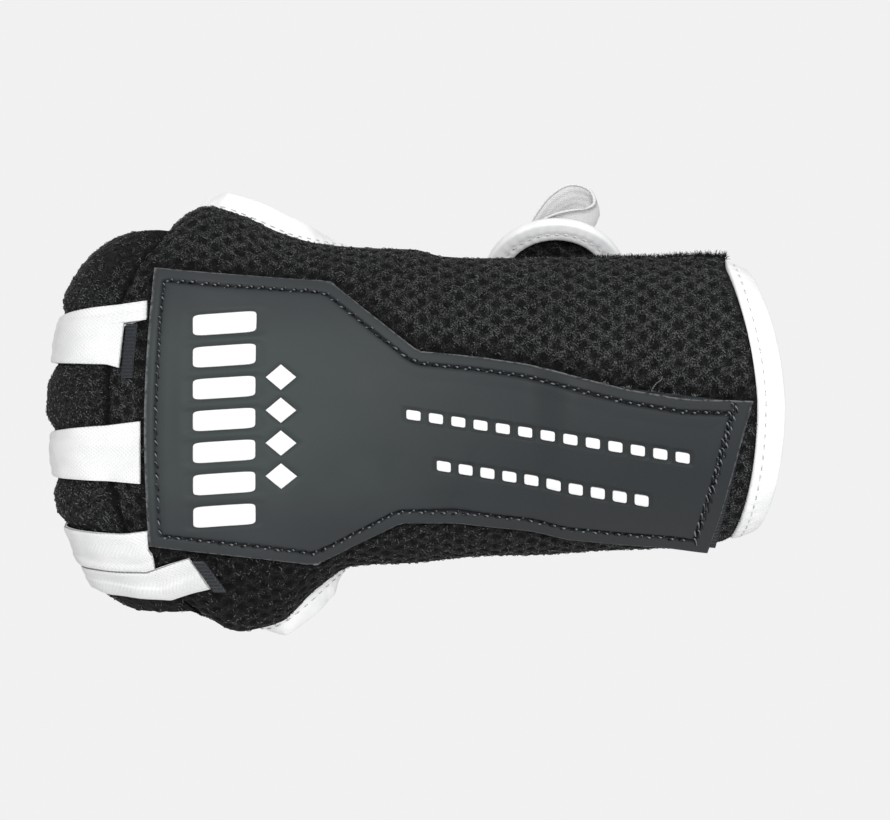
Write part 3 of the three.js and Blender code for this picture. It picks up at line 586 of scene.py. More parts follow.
class Nodes:
    """Short names for the nodes of one material."""

    def __init__(self, name, **settings):
        self.material = bpy.data.materials.new(name)
        self.material.use_nodes = True
        self.tree = self.material.node_tree
        self.shader = self.tree.nodes["Principled BSDF"]
        self.set_shader(**settings)
        coordinates = self.add("TexCoord")
        self.place = self.vector("MULTIPLY", coordinates.outputs["Object"], (1 / MM,) * 3)
        self.cloth = coordinates.outputs["UV"]
        self.shade = self.add("Attribute", attribute_name="shade").outputs["Fac"]

    def put(self, socket, value):
        if isinstance(value, bpy.types.NodeSocket):
            self.tree.links.new(value, socket)
        else:
            socket.default_value = value

    def set_shader(self, **settings):
        for name, value in settings.items():
            self.put(self.shader.inputs[name.replace("_", " ")], value)

    def add(self, kind, *inputs, **values):
        """New node with its properties, and with its first inputs set or linked."""
        node = self.tree.nodes.new("ShaderNode" + kind)
        for key, value in values.items():
            setattr(node, key, value)
        for socket, value in zip(node.inputs, inputs):
            self.put(socket, value)
        return node

    def math(self, operation, *inputs):
        return self.add("Math", *inputs, operation=operation).outputs[0]

    def total(self, *terms):
        """Sum of values, each times its weight."""
        result = 0.0
        for value, weight in terms:
            result = self.math("MULTIPLY_ADD", value, weight, result)
        return result

    def wave(self, value, length):
        return self.math("SINE", self.math("MULTIPLY", value, 2 * math.pi / length))

    def vector(self, operation, *inputs):
        node = self.add("VectorMath", *inputs, operation=operation)
        return node.outputs["Value" if operation == "LENGTH" else "Vector"]

    def parts(self, vector):
        return self.add("SeparateXYZ", vector).outputs

    def noise(self, scale, detail, output="Fac", distortion=0.0):
        """Noise with scale bumps to a millimetre."""
        node = self.add("TexNoise", self.place)
        for socket, value in (("Scale", scale), ("Detail", detail), ("Distortion", distortion)):
            node.inputs[socket].default_value = value
        return node.outputs[output]

    def ramp(self, value, start, end, low=0.0, high=1.0):
        """Smooth step from low to high as the value goes from start to end."""
        return self.add("MapRange", value, start, end, low, high, interpolation_type="SMOOTHSTEP").outputs[0]

    def mix(self, factor, a, b):
        node = self.add("Mix", factor, data_type="RGBA")
        self.put(node.inputs[6], a)
        self.put(node.inputs[7], b)
        return node.outputs[2]

    def tint(self, colour, other, value, *steps):
        """Colour with another one mixed in by a ramp of the value."""
        return self.mix(self.ramp(value, *steps), colour, other)

    def finish(self, colour, height, depth, strength=1.0):
        """Material with its colour and a bump of the given depth in millimetres."""
        bump = self.add("Bump")
        for name, value in (("Height", height), ("Distance", depth * MM), ("Strength", strength)):
            self.put(bump.inputs[name], value)
        self.set_shader(Base_Color=colour, Normal=bump.outputs[0])
        return self.material


def grey(value, warm=0.0, green=0.0):
    """Linear colour of an sRGB grey from 0 to 255, bluer with a warmth below 0."""
    def linear(level):
        level = level / 255
        return level / 12.92 if level <= 0.04045 else ((level + 0.055) / 1.055) ** 2.4
    return linear(value + warm), linear(value + green), linear(value - warm), 1.0


def lattice_material(name, holes, body, speck, hole_shade):
    """Knitted spacer mesh: soft holes darkened with painted shade between fuzzy curled yarns with light
    specks, and more painted shade from the shade attribute.
    """
    nodes = Nodes(name, Roughness=0.75, Specular_IOR_Level=0.15)
    distance, row_pair, radius = holes
    half = (0.5, 0.5, 0.5)
    dark = grey(9)
    wander = nodes.vector("SUBTRACT", nodes.noise(0.6, 2, "Color"), half)
    cloth = nodes.vector("ADD", nodes.cloth, nodes.vector("MULTIPLY", wander, (2, 2, 0)))
    cells = nodes.vector("DIVIDE", cloth, (distance, row_pair, 1))
    to_holes = []
    for shift in (0, 0.5):
        cell = nodes.vector("FRACTION", nodes.vector("ADD", cells, (shift, shift, 0)))
        offset = nodes.vector("MULTIPLY", nodes.vector("SUBTRACT", cell, half), (distance, row_pair, 0))
        to_holes.append(nodes.vector("LENGTH", offset))
    hole = nodes.ramp(nodes.math("MINIMUM", *to_holes), radius * 0.3, radius * 1.2, 1, 0)
    curl = nodes.noise(1.9, 2, distortion=1.8)
    fine = nodes.noise(3.6, 1, distortion=1.2)
    specks = nodes.math("MULTIPLY", nodes.ramp(curl, 0.44, 0.56), nodes.ramp(fine, 0.46, 0.58))
    yarn = nodes.mix(specks, nodes.tint(dark, body, curl, 0.4, 0.6), speck)
    # Holes darkened with painted shade.
    colour = nodes.mix(nodes.math("MULTIPLY", hole, hole_shade), yarn, dark)
    colour = nodes.tint(colour, grey(8), nodes.parts(nodes.place)[0], -15, -110, 0.3, 0.42)
    # Painted shade where the shade attribute is set.
    colour = nodes.mix(nodes.shade, colour, grey(5))
    return nodes.finish(colour, nodes.total((curl, 0.6), (fine, 0.4), (hole, -0.6)), 0.6)


def rubber_material():
    """Grey moulded rubber with a faint cloudy bloom, a fine grain, a pale rim that is partly wear and partly
    a painted highlight on its bevel, and painted shade in the stitch groove and toward the top and bottom
    edges.
    """
    nodes = Nodes("patch_rubber", Specular_IOR_Level=0.1)
    cloud = nodes.noise(0.06, 3)
    grain = nodes.noise(3.5, 2)
    x, _, z = nodes.parts(nodes.place)
    from_middle = nodes.math("ABSOLUTE", nodes.math("ADD", z, 2.5))
    colour = nodes.tint(grey(61, -3, 2), grey(65, -3, 2), cloud, 0.3, 0.7)
    colour = nodes.tint(colour, grey(46, -2), x, -115, -50, 0, 0.75)
    # Painted shade: darker toward the patch's top and bottom edges, which turn away from the light.
    colour = nodes.tint(colour, grey(56, -2), from_middle, 14, 32, 0, 0.75)
    colour = nodes.tint(colour, grey(80), grain, 0.62, 0.75, 0, 0.2)
    # Pale rim from the shade attribute above 0: partly wear on the cut edge, partly a painted highlight on
    # its bevel.
    pale_rim_and_groove_shade = nodes.math("MULTIPLY", nodes.shade, nodes.ramp(nodes.noise(0.9, 3), 0.35, 0.6))
    colour = nodes.mix(pale_rim_and_groove_shade, colour, grey(118, -1))
    # Painted shade in the stitch groove, where the shade attribute is below 0.
    colour = nodes.tint(colour, grey(20, -2), nodes.shade, 0, -1, 0, 0.85)
    nodes.set_shader(Roughness=nodes.ramp(cloud, 0.25, 0.75, 0.44, 0.58))
    return nodes.finish(colour, grain, 0.03, 0.6)


def print_material():
    """Raised white rubber of the patch's plain decoration."""
    nodes = Nodes("patch_print", Roughness=0.45)
    cloud = nodes.noise(0.4, 2)
    return nodes.finish(nodes.mix(cloud, grey(240), grey(230, -1)), cloud, 0.05)


def weave_material(name, light, dark, stripe, rib, contrast, depth=0.12):
    """Cotton tape: herringbone weave with fine slanted ribs that turn at each stripe."""
    nodes = Nodes(name, Roughness=0.85, Sheen_Weight=0.1)
    along, across, _ = nodes.parts(nodes.cloth)
    side = nodes.math("PINGPONG", across, stripe)
    ribs = nodes.wave(nodes.total((along, 1), (side, 1), (nodes.noise(0.8, 2), 0.5)), rib)
    weave = nodes.total((ribs, 0.7), (nodes.wave(along, rib * 0.55), 0.3))
    fibre = nodes.noise(3, 3)
    colour = nodes.tint(light, dark, weave, -0.9, 0.1, contrast, 0)
    colour = nodes.tint(colour, dark, nodes.noise(0.1, 2), 0.35, 0.7, 0, 0.35)
    colour = nodes.tint(colour, light, fibre, 0.6, 0.8, 0, 0.4)
    return nodes.finish(colour, nodes.total((weave, 0.35), (fibre, 1)), depth)


def binding_material():
    """Smooth white folded tape with faint ribs across it."""
    nodes = Nodes("white_binding", Roughness=0.55, Sheen_Weight=0.05)
    rib = nodes.wave(nodes.parts(nodes.cloth)[0], 0.55)
    colour = nodes.tint(grey(250), grey(240, -1), nodes.noise(0.15, 3), 0.35, 0.7)
    return nodes.finish(colour, nodes.total((rib, 0.12), (nodes.noise(4, 2), 1)), 0.04)


def twill_material():
    """Dark twill tape with fine ribs that run along x."""
    nodes = Nodes("dark_twill", Roughness=0.8, Sheen_Weight=0.15)
    rib = nodes.wave(nodes.parts(nodes.cloth)[1], 0.8)
    fibre = nodes.noise(3, 3)
    colour = nodes.tint(grey(22, -4), grey(36, -7), rib, -0.6, 0.6)
    colour = nodes.tint(colour, grey(74, -8), fibre, 0.55, 0.8)
    return nodes.finish(colour, nodes.math("ADD", rib, fibre), 0.1)


def thread_material(name, light, dark, pitch, highlight_turns=(-0.5, 0.6)):
    """Twisted sewing thread: light and dark turns along the seam, painted highlights on the twist with
    painted shade between them.
    """
    nodes = Nodes(name, Roughness=0.5, Specular_IOR_Level=0.3)
    twist = nodes.wave(nodes.total(*((part, 1) for part in nodes.parts(nodes.place))), pitch)
    # Painted highlights and shade along the twist.
    colour = nodes.tint(dark, light, twist, *highlight_turns)
    return nodes.finish(colour, nodes.math("ADD", twist, nodes.noise(5, 2)), 0.08)


def floor_material():
    """Pale floor that fades out before its rim."""
    nodes = Nodes("pale_floor", Roughness=0.9)
    distance = nodes.vector("LENGTH", nodes.vector("MULTIPLY", nodes.place, (MM, MM, 0)))
    nodes.set_shader(
        Base_Color=nodes.mix(nodes.noise(0.004, 2), grey(240), grey(236)),
        Alpha=nodes.ramp(distance, 1.2, 2.1, 1, 0),
    )
    return nodes.material


MATERIALS = {
    "spacer_mesh": lattice_material("spacer_mesh", MESH_HOLES, grey(28), grey(118, -2), 0.8),
    "pad_mesh": lattice_material("pad_mesh", PAD_HOLES, grey(26), grey(98, -2), 0.45),
    "patch_rubber": rubber_material(),
    "white_tape": weave_material("white_tape", grey(236), grey(206, -2), 2.6, 0.9, 0.38),
    "grey_tape": weave_material("grey_tape", grey(232), grey(200), 2.4, 0.8, 0.3, 0.05),
    "white_binding": binding_material(),
    "dark_twill": twill_material(),
}
PRINT = print_material()
# Threads, fuzz and yarn curls: the lighter and darker turns along each are painted highlights and shade of
# its twist.
WHITE_THREAD = thread_material("white_thread", grey(226), grey(184), 1.1)
DARK_THREAD = thread_material("dark_thread", grey(120, -5), grey(12, -2), 1.5, (0.2, 0.9))
FUZZ = thread_material("mesh_fuzz", grey(30), grey(12), 0.7)
YARN = thread_material("yarn_curls", grey(112, -2), grey(26), 0.9)
LIGHT_FUZZ = thread_material("light_fuzz", grey(150, -3), grey(84), 0.7)


def new_object(name, data):
    thing = bpy.data.objects.new(name, data)
    bpy.context.scene.collection.objects.link(thing)
    return thing


def make_mesh(name, points, faces, cloth=None, shade=None):
    """Smooth mesh from points in millimetres, with an optional map of places on its cloth
    and an optional shade for each point, which the materials paint as shade and, on the patch, also as a
    pale rim."""
    mesh = bpy.data.meshes.new(name)
    mesh.from_pydata((np.asarray(points) * MM).tolist(), [], faces)
    mesh.polygons.foreach_set("use_smooth", np.ones(len(mesh.polygons), bool))
    if cloth is not None:
        layer = mesh.uv_layers.new(name="cloth")
        corners = np.zeros(len(mesh.loops), np.int32)
        mesh.loops.foreach_get("vertex_index", corners)
        layer.data.foreach_set("uv", cloth.astype(np.float32)[corners].ravel())
    if shade is not None:
        mesh.attributes.new("shade", "FLOAT", "POINT").data.foreach_set("value", shade.astype(np.float32))
    mesh.update()
    return new_object(name, mesh)


def add_piece(piece, slot, *nodes, material=None):
    """Puts a finished piece in the frame with its material, which the slot picks unless one is given, and
    hides the nodes it replaces.
    """
    piece.data.materials.append(material or MATERIALS[slot])
    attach(piece, "root")
    if nodes:
        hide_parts(*nodes)
    return piece


def ring_faces(index, closed=False):
    """Faces between rings of points, and the two ends of open bodies: index is (bodies, rings, sides)."""
    here = index if closed else index[:, :-1]
    there = np.roll(index, -1, axis=1) if closed else index[:, 1:]
    quads = np.stack([here, there, np.roll(there, -1, axis=-1), np.roll(here, -1, axis=-1)], -1)
    faces = quads.reshape(-1, 4).tolist()
    if closed:
        return faces
    return faces + index[:, 0].tolist() + index[:, -1, ::-1].tolist()


def cover(name, slot, base, relief, wall, outward, cloth, shade=0.0):
    """Closed body in place of the node of its name, from a grid of its plain outer surface.
    outward, 1 or -1, turns the grid's normals. The outer skin has the relief, and the inner
    one is coarser."""
    rows, columns = base.shape[:2]
    wall = np.broadcast_to(wall, (rows, columns))
    shade = np.broadcast_to(shade, (rows, columns))

    def both(outer, inner):
        inner = inner[::INNER_STEP, ::INNER_STEP]
        return np.concatenate([skin.reshape(-1, *outer.shape[2:]) for skin in (outer, inner)])

    def quads(grid, turn):
        corners = [grid[:-1, :-1], grid[1:, :-1], grid[1:, 1:], grid[:-1, 1:]]
        return np.stack(corners[::turn], -1).reshape(-1, 4).tolist()

    points = both(lifted(base, outward * relief), lifted(base, -outward * wall))
    index = np.arange(rows * columns).reshape(rows, columns)
    under = np.arange(rows * columns, len(points)).reshape((rows - 1) // INNER_STEP + 1, -1)
    faces = quads(index, outward) + quads(under, -outward)
    for turn in range(4):
        fine = np.rot90(index, turn)[0].tolist()
        low = np.rot90(under, turn)[0].tolist()
        for k in range(len(low) - 1):
            rim = fine[k * INNER_STEP:(k + 1) * INNER_STEP + 1] + [low[k + 1], low[k]]
            faces.append(rim[::-outward])
    piece = make_mesh(name, points, faces, both(cloth, cloth), both(shade, shade))
    return add_piece(piece, slot, name)


def sweep(name, points, across, up, section, closed):
    """Body swept through frames. section is (frames, corners, 2), as distances across and up.
    Its cloth map has the length along it and the distance across the section."""
    rings = points[:, None] + across[:, None] * section[..., :1] + up[:, None] * section[..., 1:]
    cloth = join(arc_lengths(points)[:, None], section[..., 0])
    faces = ring_faces(np.arange(section[..., 0].size).reshape(1, *section.shape[:2]), closed)
    middle = rings.mean(axis=1, keepdims=True)
    side = np.cross(np.roll(rings, -1, 1) - rings, np.gradient(points, axis=0)[:, None])
    if dot(side, rings - middle).sum() > 0:
        faces = [face[::-1] for face in faces]
    return make_mesh(name, rings.reshape(-1, 3), faces, cloth.reshape(-1, 2))


def threads(name, paths, radii, sides=6):
    """One mesh of many thin round threads with closed ends: paths is (threads, points, 3)."""
    paths = np.asarray(paths, float)
    tangent = unit(np.gradient(paths, axis=1))
    across = unit(np.cross(tangent, THREAD_ASIDE))
    up = np.cross(tangent, across)
    turns = 2 * math.pi * np.arange(sides)[:, None] / sides
    circle = across[:, :, None] * np.cos(turns) + up[:, :, None] * np.sin(turns)
    points = paths[:, :, None] + circle * np.broadcast_to(radii, paths.shape[:2])[..., None, None]
    index = np.arange(points[..., 0].size).reshape(points.shape[:3])
    return make_mesh(name, points.reshape(-1, 3), ring_faces(index))


def yarn_curls(sheet, slot, base, relief, outward, cloth, shade=0.0):
    """Small curls of yarn that lie on a sheet of mesh between its holes, fewer where the sheet has painted
    shade.
    """
    count, seed = CURLS[sheet]
    draw = np.random.default_rng(seed)
    normals = grid_normals(base) * outward
    grid = lifted(base, outward * relief)
    rows, columns = base.shape[:2]
    i = draw.integers(0, rows - 1, count)
    j = draw.integers(0, columns - 1, count)
    holes = hole_depth(cloth[i, j], MESH_HOLES)
    dark = np.broadcast_to(shade, (rows, columns))[i, j]
    seen = (holes < 0.5) & (dark < draw.uniform(0.1, 1, count))
    i, j = i[seen], j[seen]
    share = draw.uniform(0, 1, (2, len(i), 1))
    here = grid[i, j]
    down = grid[i + 1, j] - here
    start = here + share[0] * down + share[1] * (grid[i, j + 1] - here)
    normal = normals[i, j]
    along = unit(down)
    aside = np.cross(normal, along)
    heading = draw.uniform(0, 2 * math.pi, (len(i), 1))
    forward = along * np.cos(heading) + aside * np.sin(heading)
    sideways = aside * np.cos(heading) - along * np.sin(heading)
    length = draw.uniform(*CURL_LENGTHS, (len(i), 1, 1))
    bend = draw.uniform(-1, 1, (len(i), 1, 1))
    place = CURL_PLACES[:, None] * length
    paths = start[:, None] + forward[:, None] * place + sideways[:, None] * bend * place**2
    paths += normal[:, None] * CURL_HEIGHTS[:, None]
    radii = draw.uniform(*CURL_RADII, (len(i), 1)) * CURL_TAPER
    add_piece(threads(sheet + "_curls", paths, radii, 3), slot, material=YARN)


def back_panel():
    u, v = shares(*PANEL_GRID)
    thumb = table_value(PANEL_EDGES, "thumb", panel_x(90, u))
    pinky = table_value(PANEL_EDGES, "pinky", panel_x(-90, u))
    angle = lerp(thumb, pinky, v)
    base = body_point(panel_x(angle, u), angle)
    cloth = cloth_map(base, angle, 0)
    x = base[..., 0]
    to_seam = x - x[-1:]
    to_hem = x[:1] - x
    to_edge = np.abs(cloth[:, :1, 1] - cloth[..., 1])
    flap = 0.15 * smooth(x, -34, -14) * fade(to_edge, 0, 8)
    flap += 0.4 * smooth(x, -20, -11) * fade(to_edge, 0, 7)
    base = lifted(base, flap)
    base[..., 0] += 0.9 * fade(to_edge, 0, 6) * fade(to_hem, 0, 6)
    inside = smooth(to_edge, 0, 12) * smooth(to_edge[:, ::-1], 0, 6)
    relief = mesh_relief(cloth, 0.5, seed=3) + edge_roll(to_seam, 3.5, 1.3) * lerp(0.15, 1, inside)
    relief += 0.5 * smooth(to_seam, 2, 7) * fade(to_seam, 7, 18) * inside
    relief *= smooth(to_hem, 0, 2.5) * smooth(to_edge, 0, 1.5)
    sides, _ = patch_edges(outline_point(PATCH, *shares(*PATCH_PLAN_GRID)))
    # Painted shade in the mesh's colour, with fewer curls: along the patch's edges, where it is partly
    # matted fibres, in the seam by the pad, by the wrist binding, and growing toward the pinky side.
    patch_edge_shade = fade(outline_distance(base[..., 0], base[..., 2], sides), 0.5, 4.5)
    shade = np.maximum.reduce([
        0.75 * patch_edge_shade,
        0.8 * fade(to_seam, 0.1, 0.9),
        0.8 * fade(to_hem, 0.2, 1.4),
        0.62 * fade(base[..., 2], -42, -21),
    ])
    piece = cover("back_panel", "spacer_mesh", base, relief, MESH_WALL, 1, cloth, shade)
    yarn_curls("back_panel", "spacer_mesh", base, relief, 1, cloth, shade)
    return base


def palm_sheet(name, base, angle, seed):
    """Finishes one of the two sheets of mesh on the palm side."""
    cloth = cloth_map(base, angle, 180)
    relief = mesh_relief(cloth, 0.4, seed)
    piece = cover(name, "spacer_mesh", base, relief, MESH_WALL, -1, cloth)
    yarn_curls(name, "spacer_mesh", base, relief, -1, cloth)


def finger_band():
    u, v = shares(*BAND_GRID)
    angle = lerp(*BAND_ANGLES, v)
    x = lerp(table_value(BAND_REAR, "x", angle), table_value(BAND_FRONT, "x", angle), u)
    palm_sheet("finger_band", body_point(x, angle), angle, seed=11)


def palm_strap():
    u, v = shares(*STRAP_GRID)
    angle = lerp(*STRAP_ANGLES, v)
    x = lerp(cloth_start_x(angle), table_value(STRAP_FRONT, "x", angle), u)
    palm_sheet("palm_strap", body_point(x, angle, tuck_at(angle)), angle, seed=17)


def tape_cover(tape, z, t):
    """How much of a point of the pad a tape covers, from 0 to 1."""
    seam_z, front_z, palm_z = tape["z"][1:]
    middle = np.where(t < 0.5, lerp(seam_z, front_z, t * 2), lerp(front_z, palm_z, t * 2 - 1))
    half = lerp(*tape["half"], 0.8)
    return fade(np.abs(z - middle), half * 0.85, half * 1.9)


def knuckle_pad():
    u, v = shares(*PAD_GRID)
    z = lerp(PAD.top_z, PAD.bottom_z + PAD_CORNER_CUT * smooth(v, 0.6, 1), u)
    base = pad_point(z, v, PAD_TUCK + 2 * smooth(z, 32, 39))
    fullness = np.maximum(np.sin(math.pi * u), 0) ** 0.5 * np.maximum(np.sin(math.pi * v), 0) ** 0.7
    wall = lerp(PAD_EDGE_WALL, PAD_WALL, fullness)
    from_seam = arc_lengths(base, 1)
    from_end = np.minimum(PAD.top_z - z, z - PAD.bottom_z)
    cloth = join(from_seam, z)
    pressed = np.maximum.reduce([tape_cover(tape, z, v) for tape in TAPES])
    free = smooth(from_seam, 1, 14) * fade(v, 0.8, 1) * smooth(from_end, -2, 20)
    roll = edge_roll(from_seam, 4.5, 1.5) * lerp(0.2, 1, smooth(from_end, 0, 14))
    relief = PAD_PUFF * free * (1 - pressed) + roll - 0.14 * hole_depth(cloth, PAD_HOLES)
    relief += 0.12 * ripple(cloth, 12, seed=23) * smooth(from_seam, 0, 4)
    # Painted shade in the pad's colour, with fewer curls: in the seam by the back panel, growing toward the
    # front and the palm side, and toward both ends.
    shade = np.maximum.reduce([
        0.8 * fade(from_seam, 1.1, 2),
        0.55 * smooth(v, 0.12, 0.5),
        0.6 * fade(from_end, 0, 20),
    ])
    piece = cover("knuckle_pad", "pad_mesh", base, relief, wall, -1, cloth, shade)
    yarn_curls("knuckle_pad", "pad_mesh", base, relief, -1, cloth, shade)


def patch_marks():
    """Plain shapes on the patch: middle, half length, half height, slope, and a power for the form."""
    marks = []
    for column, slope, power in ((BARS, 0.06, 8), (DIAMONDS, 0.0, 1)):
        for z in np.linspace(column["top_z"], column["bottom_z"], column["count"]):
            marks.append((column["x"], z, column["half_x"], column["half_z"], slope, power))
    for row in DASH_ROWS:
        start = np.array(row["start"])
        end = np.array(row["end"])
        slope = (end[1] - start[1]) / (end[0] - start[0])
        for share in np.linspace(0, 1, row["count"]):
            marks.append((*lerp(start, end, share), DASH_HALF_X, DASH_HALF_Z, slope, 6))
    return marks


def mark_distance(x, z, mark):
    """Rough distance in millimetres to a mark's outline, below 0 inside it."""
    mid_x, mid_z, half_x, half_z, slope, power = mark
    along = x - mid_x
    up = z - mid_z - slope * along
    ratio = (np.abs(along / half_x) ** power + np.abs(up / half_z) ** power) ** (1 / power)
    return (ratio - 1) * min(half_x, half_z)


def back_patch():
    u, v = shares(*PATCH_GRID)
    base = outline_point(PATCH, u, v, PATCH_LEFT_BOW, PATCH_ROUNDING)
    x = base[..., 0]
    z = base[..., 2]
    sides, end = patch_edges(base)
    to_side = outline_distance(x, z, sides)
    to_end = outline_distance(x, z, end)
    to_edge = np.minimum(to_side, to_end)
    inside = np.minimum(to_side - STITCH_INSET, to_end - END_STITCH_INSET)
    lip = 0.42 * smooth(inside, 0.2, 1.1) - 0.12 * smooth(inside, 1.4, 4.0)
    seam = fade(np.abs(inside), 0.12, 0.6)
    bevel = -0.75 * (1 - np.sqrt(1 - (1 - np.clip(to_edge / 0.9, 0, 1)) ** 2))
    surround = np.maximum.reduce([fade(mark_distance(x, z, mark), 0.35, 0.8) for mark in patch_marks()])
    cloth = join(x, z)
    waves = 0.10 * ripple(cloth, 38, seed=5)
    dent = -1.1 * np.exp(-(((x + 76) / 7) ** 2 + ((z + 24) / 4.5) ** 2))
    crease = -0.35 * np.exp(-(((x + 66 - 0.4 * z) / 1.4) ** 2)) * smooth(z, -29, -22) * fade(z, -16, -8)
    relief = lip - 0.45 * seam + bevel - 0.3 * surround + waves + dent + crease
    top = lifted(base, -(patch_lift(x) + RUBBER_WALL - LIP_ROOM))
    # Pale rim along the edges, partly wear and partly a painted highlight, less the stitch groove, which the
    # rubber paints as shade.
    pale_rim_and_groove_shade = fade(to_edge, 0.1, 0.5) - seam
    cover("back_patch", "patch_rubber", top, relief, RUBBER_WALL - LIP_ROOM, -1, cloth, pale_rim_and_groove_shade)
    return sides, end


def patch_print():
    """Raised plain marks: each a low body with a rounded top edge, all in one mesh."""
    turns = np.linspace(0, 2 * math.pi, PRINT_SIDES, endpoint=False)
    rings = []
    for mid_x, mid_z, half_x, half_z, slope, power in patch_marks():
        ring_x = signed_power(np.cos(turns), 2 / power)
        ring_z = signed_power(np.sin(turns), 2 / power)
        for scale, height in PRINT_LAYERS:
            inset = (1 - scale) * min(half_x, half_z)
            x = mid_x + ring_x * (half_x - inset)
            z = mid_z + ring_z * (half_z - inset) + slope * (x - mid_x)
            rings.append(patch_surface(x, z, height))
    points = np.concatenate(rings)
    index = np.arange(len(points)).reshape(-1, len(PRINT_LAYERS), PRINT_SIDES)
    add_piece(make_mesh("patch_print", points, ring_faces(index[..., ::-1])), None, material=PRINT)


def sew(line, slant, length_share=0.68, radius=0.27):
    """Stitch paths and radii along a line of needle places, each stitch a little different."""
    draw = np.random.default_rng(91)
    paths = []
    radii = []
    for start, end in zip(line[:-1], line[1:]):
        along = (end - start) * draw.uniform(0.9, 1.1)
        aside = np.array([-along[1], along[0]])
        middle = (start + end) / 2 + aside * draw.normal(0, 0.03)
        half = along * length_share / 2 + aside * slant * draw.uniform(0.3, 1.7)
        plan = lerp(middle - half, middle + half, np.linspace(0, 1, len(STITCH_DIPS))[:, None])
        paths.append(patch_surface(plan[:, 0], plan[:, 1], STITCH_DIPS - STITCH_SINK))
        radii.append(radius * draw.uniform(0.85, 1.15) * STITCH_TAPER)
    return paths, radii


def patch_stitches(sides, end):
    """One seam along the sides and the knuckle end, and a double one along the wrist end."""
    line = resample(sides, 0.5)
    line = line[outline_distance(line[:, 0], line[:, 1], end) > END_STITCH_INSET]
    line = inset_line(line, STITCH_INSET)
    line = line[outline_distance(line[:, 0], line[:, 1], sides) > STITCH_INSET - 0.25]
    paths, radii = sew(resample(line, STITCH_PITCH), 0.12)
    line = resample(end, 0.5)
    line = line[outline_distance(line[:, 0], line[:, 1], sides) > 0.8]
    line = inset_line(line, END_STITCH_INSET)
    for shift in (-0.4, 0.4):
        row = resample(inset_line(line, shift), STITCH_PITCH * 0.8, STITCH_PITCH * (0.5 + shift))
        more_paths, more_radii = sew(row, 0.2, 0.95, 0.33)
        paths += more_paths
        radii += more_radii
    add_piece(threads("patch_stitches", paths, radii), "dark_twill", material=DARK_THREAD)


def patch_backing():
    base = outline_point(BACKING, *shares(*SMALL_GRID))
    cloth = base[..., [0, 2]]
    top = lifted(base, -(PATCH_LIFT + BACKING_WALL))
    cover("patch_backing", "dark_twill", top, 0.05 * ripple(cloth, 5, seed=31), BACKING_WALL, -1, cloth)


def anchor_tab(tab):
    u, v = shares(*ANCHOR_GRID)
    x = lerp(tab["left"], tab["right"], u) + tab["lean"] * v
    z = lerp(tab["top"], tab["bottom"], v)
    top = lifted(surface_point(x, z, -1), -(SEAM_GAP + ANCHOR_WALL))
    ribs = 0.04 * np.sin(2 * math.pi * z / 0.8)
    cover(tab["name"], "dark_twill", top, ribs, ANCHOR_WALL, -1, join(x, z))


def tape_point(tape, u, v):
    """Finger tape: from the patch over the pad, across the finger gap and on to the band."""
    start_z, seam_z, front_z, palm_z = tape["z"]
    start_x = np.interp(v, *zip(*tape["start"]))
    on_back = np.minimum(u / TAPE_SEAM_AT, 1)
    on_pad = np.clip((u - TAPE_SEAM_AT) / (TAPE_PAD_END_AT - TAPE_SEAM_AT), 0, 1)
    to_front = np.minimum(on_pad * 2, 1)
    to_palm = np.maximum(on_pad * 2 - 1, 0)
    middle = lerp(start_z, seam_z, on_back) + (front_z - seam_z) * to_front + (palm_z - front_z) * to_palm
    half = lerp(*tape["half"], (on_back + 2 * to_front) / 3)
    z = middle + half * (1 - 2 * v)
    back = surface_point(lerp(start_x, seam_x(z), on_back), z, -1)
    angle = 180 - np.degrees(np.arcsin(np.clip((z - BAND_MID_Z) / BAND_REACH, -1, 1)))
    band_x = table_value(BAND_FRONT, "x", angle)
    across = np.clip((u - TAPE_PAD_END_AT) / (TAPE_BAND_AT - TAPE_PAD_END_AT), 0, 1)[..., None]
    gap = lerp(pad_point(z, 1), surface_point(band_x, z, 1), across)
    past_x = band_x + TAPE_BAND_LENGTH * (u - TAPE_BAND_AT) / (1 - TAPE_BAND_AT)
    stage = (u >= TAPE_SEAM_AT).astype(int) + (u > TAPE_PAD_END_AT) + (u >= TAPE_BAND_AT)
    return np.choose(stage[..., None], [back, pad_point(z, on_pad), gap, surface_point(past_x, z, 1)])


def finger_tape(tape):
    rows, columns = TAPE_GRID
    coarse = np.linspace(0, 1, 800)
    lengths = arc_lengths(tape_point(tape, coarse, 0.5))
    along = np.linspace(0, lengths[-1], rows)[:, None]
    v = np.linspace(0, 1, columns)
    for share, _ in tape["start"]:
        v[np.abs(v - share).argmin()] = share
    base = relaxed(tape_point(tape, np.interp(along, lengths, coarse), v), passes=3)
    breadth = 2 * tape["half"][0]
    across = v * breadth
    cloth = join(along, across)
    edge = np.minimum(v, 1 - v) * breadth
    relief = 0.12 * ripple(cloth, 8, seed=int(tape["name"][-1])) - 0.22 * fade(edge, 0, 0.5)
    relief += 0.06 * np.sin(2 * math.pi * across / 4.3 + 1.3 * np.sin(along / 9))
    fold = tape["fold"] * breadth + 0.5 * np.sin(along / 6)
    relief += 0.3 * smooth(across, fold - 0.35, fold + 0.35) - 0.15
    cover(tape["name"], "white_tape", lifted(base, TAPE_LIFT + TAPE_WALL), relief, TAPE_WALL, 1, cloth)


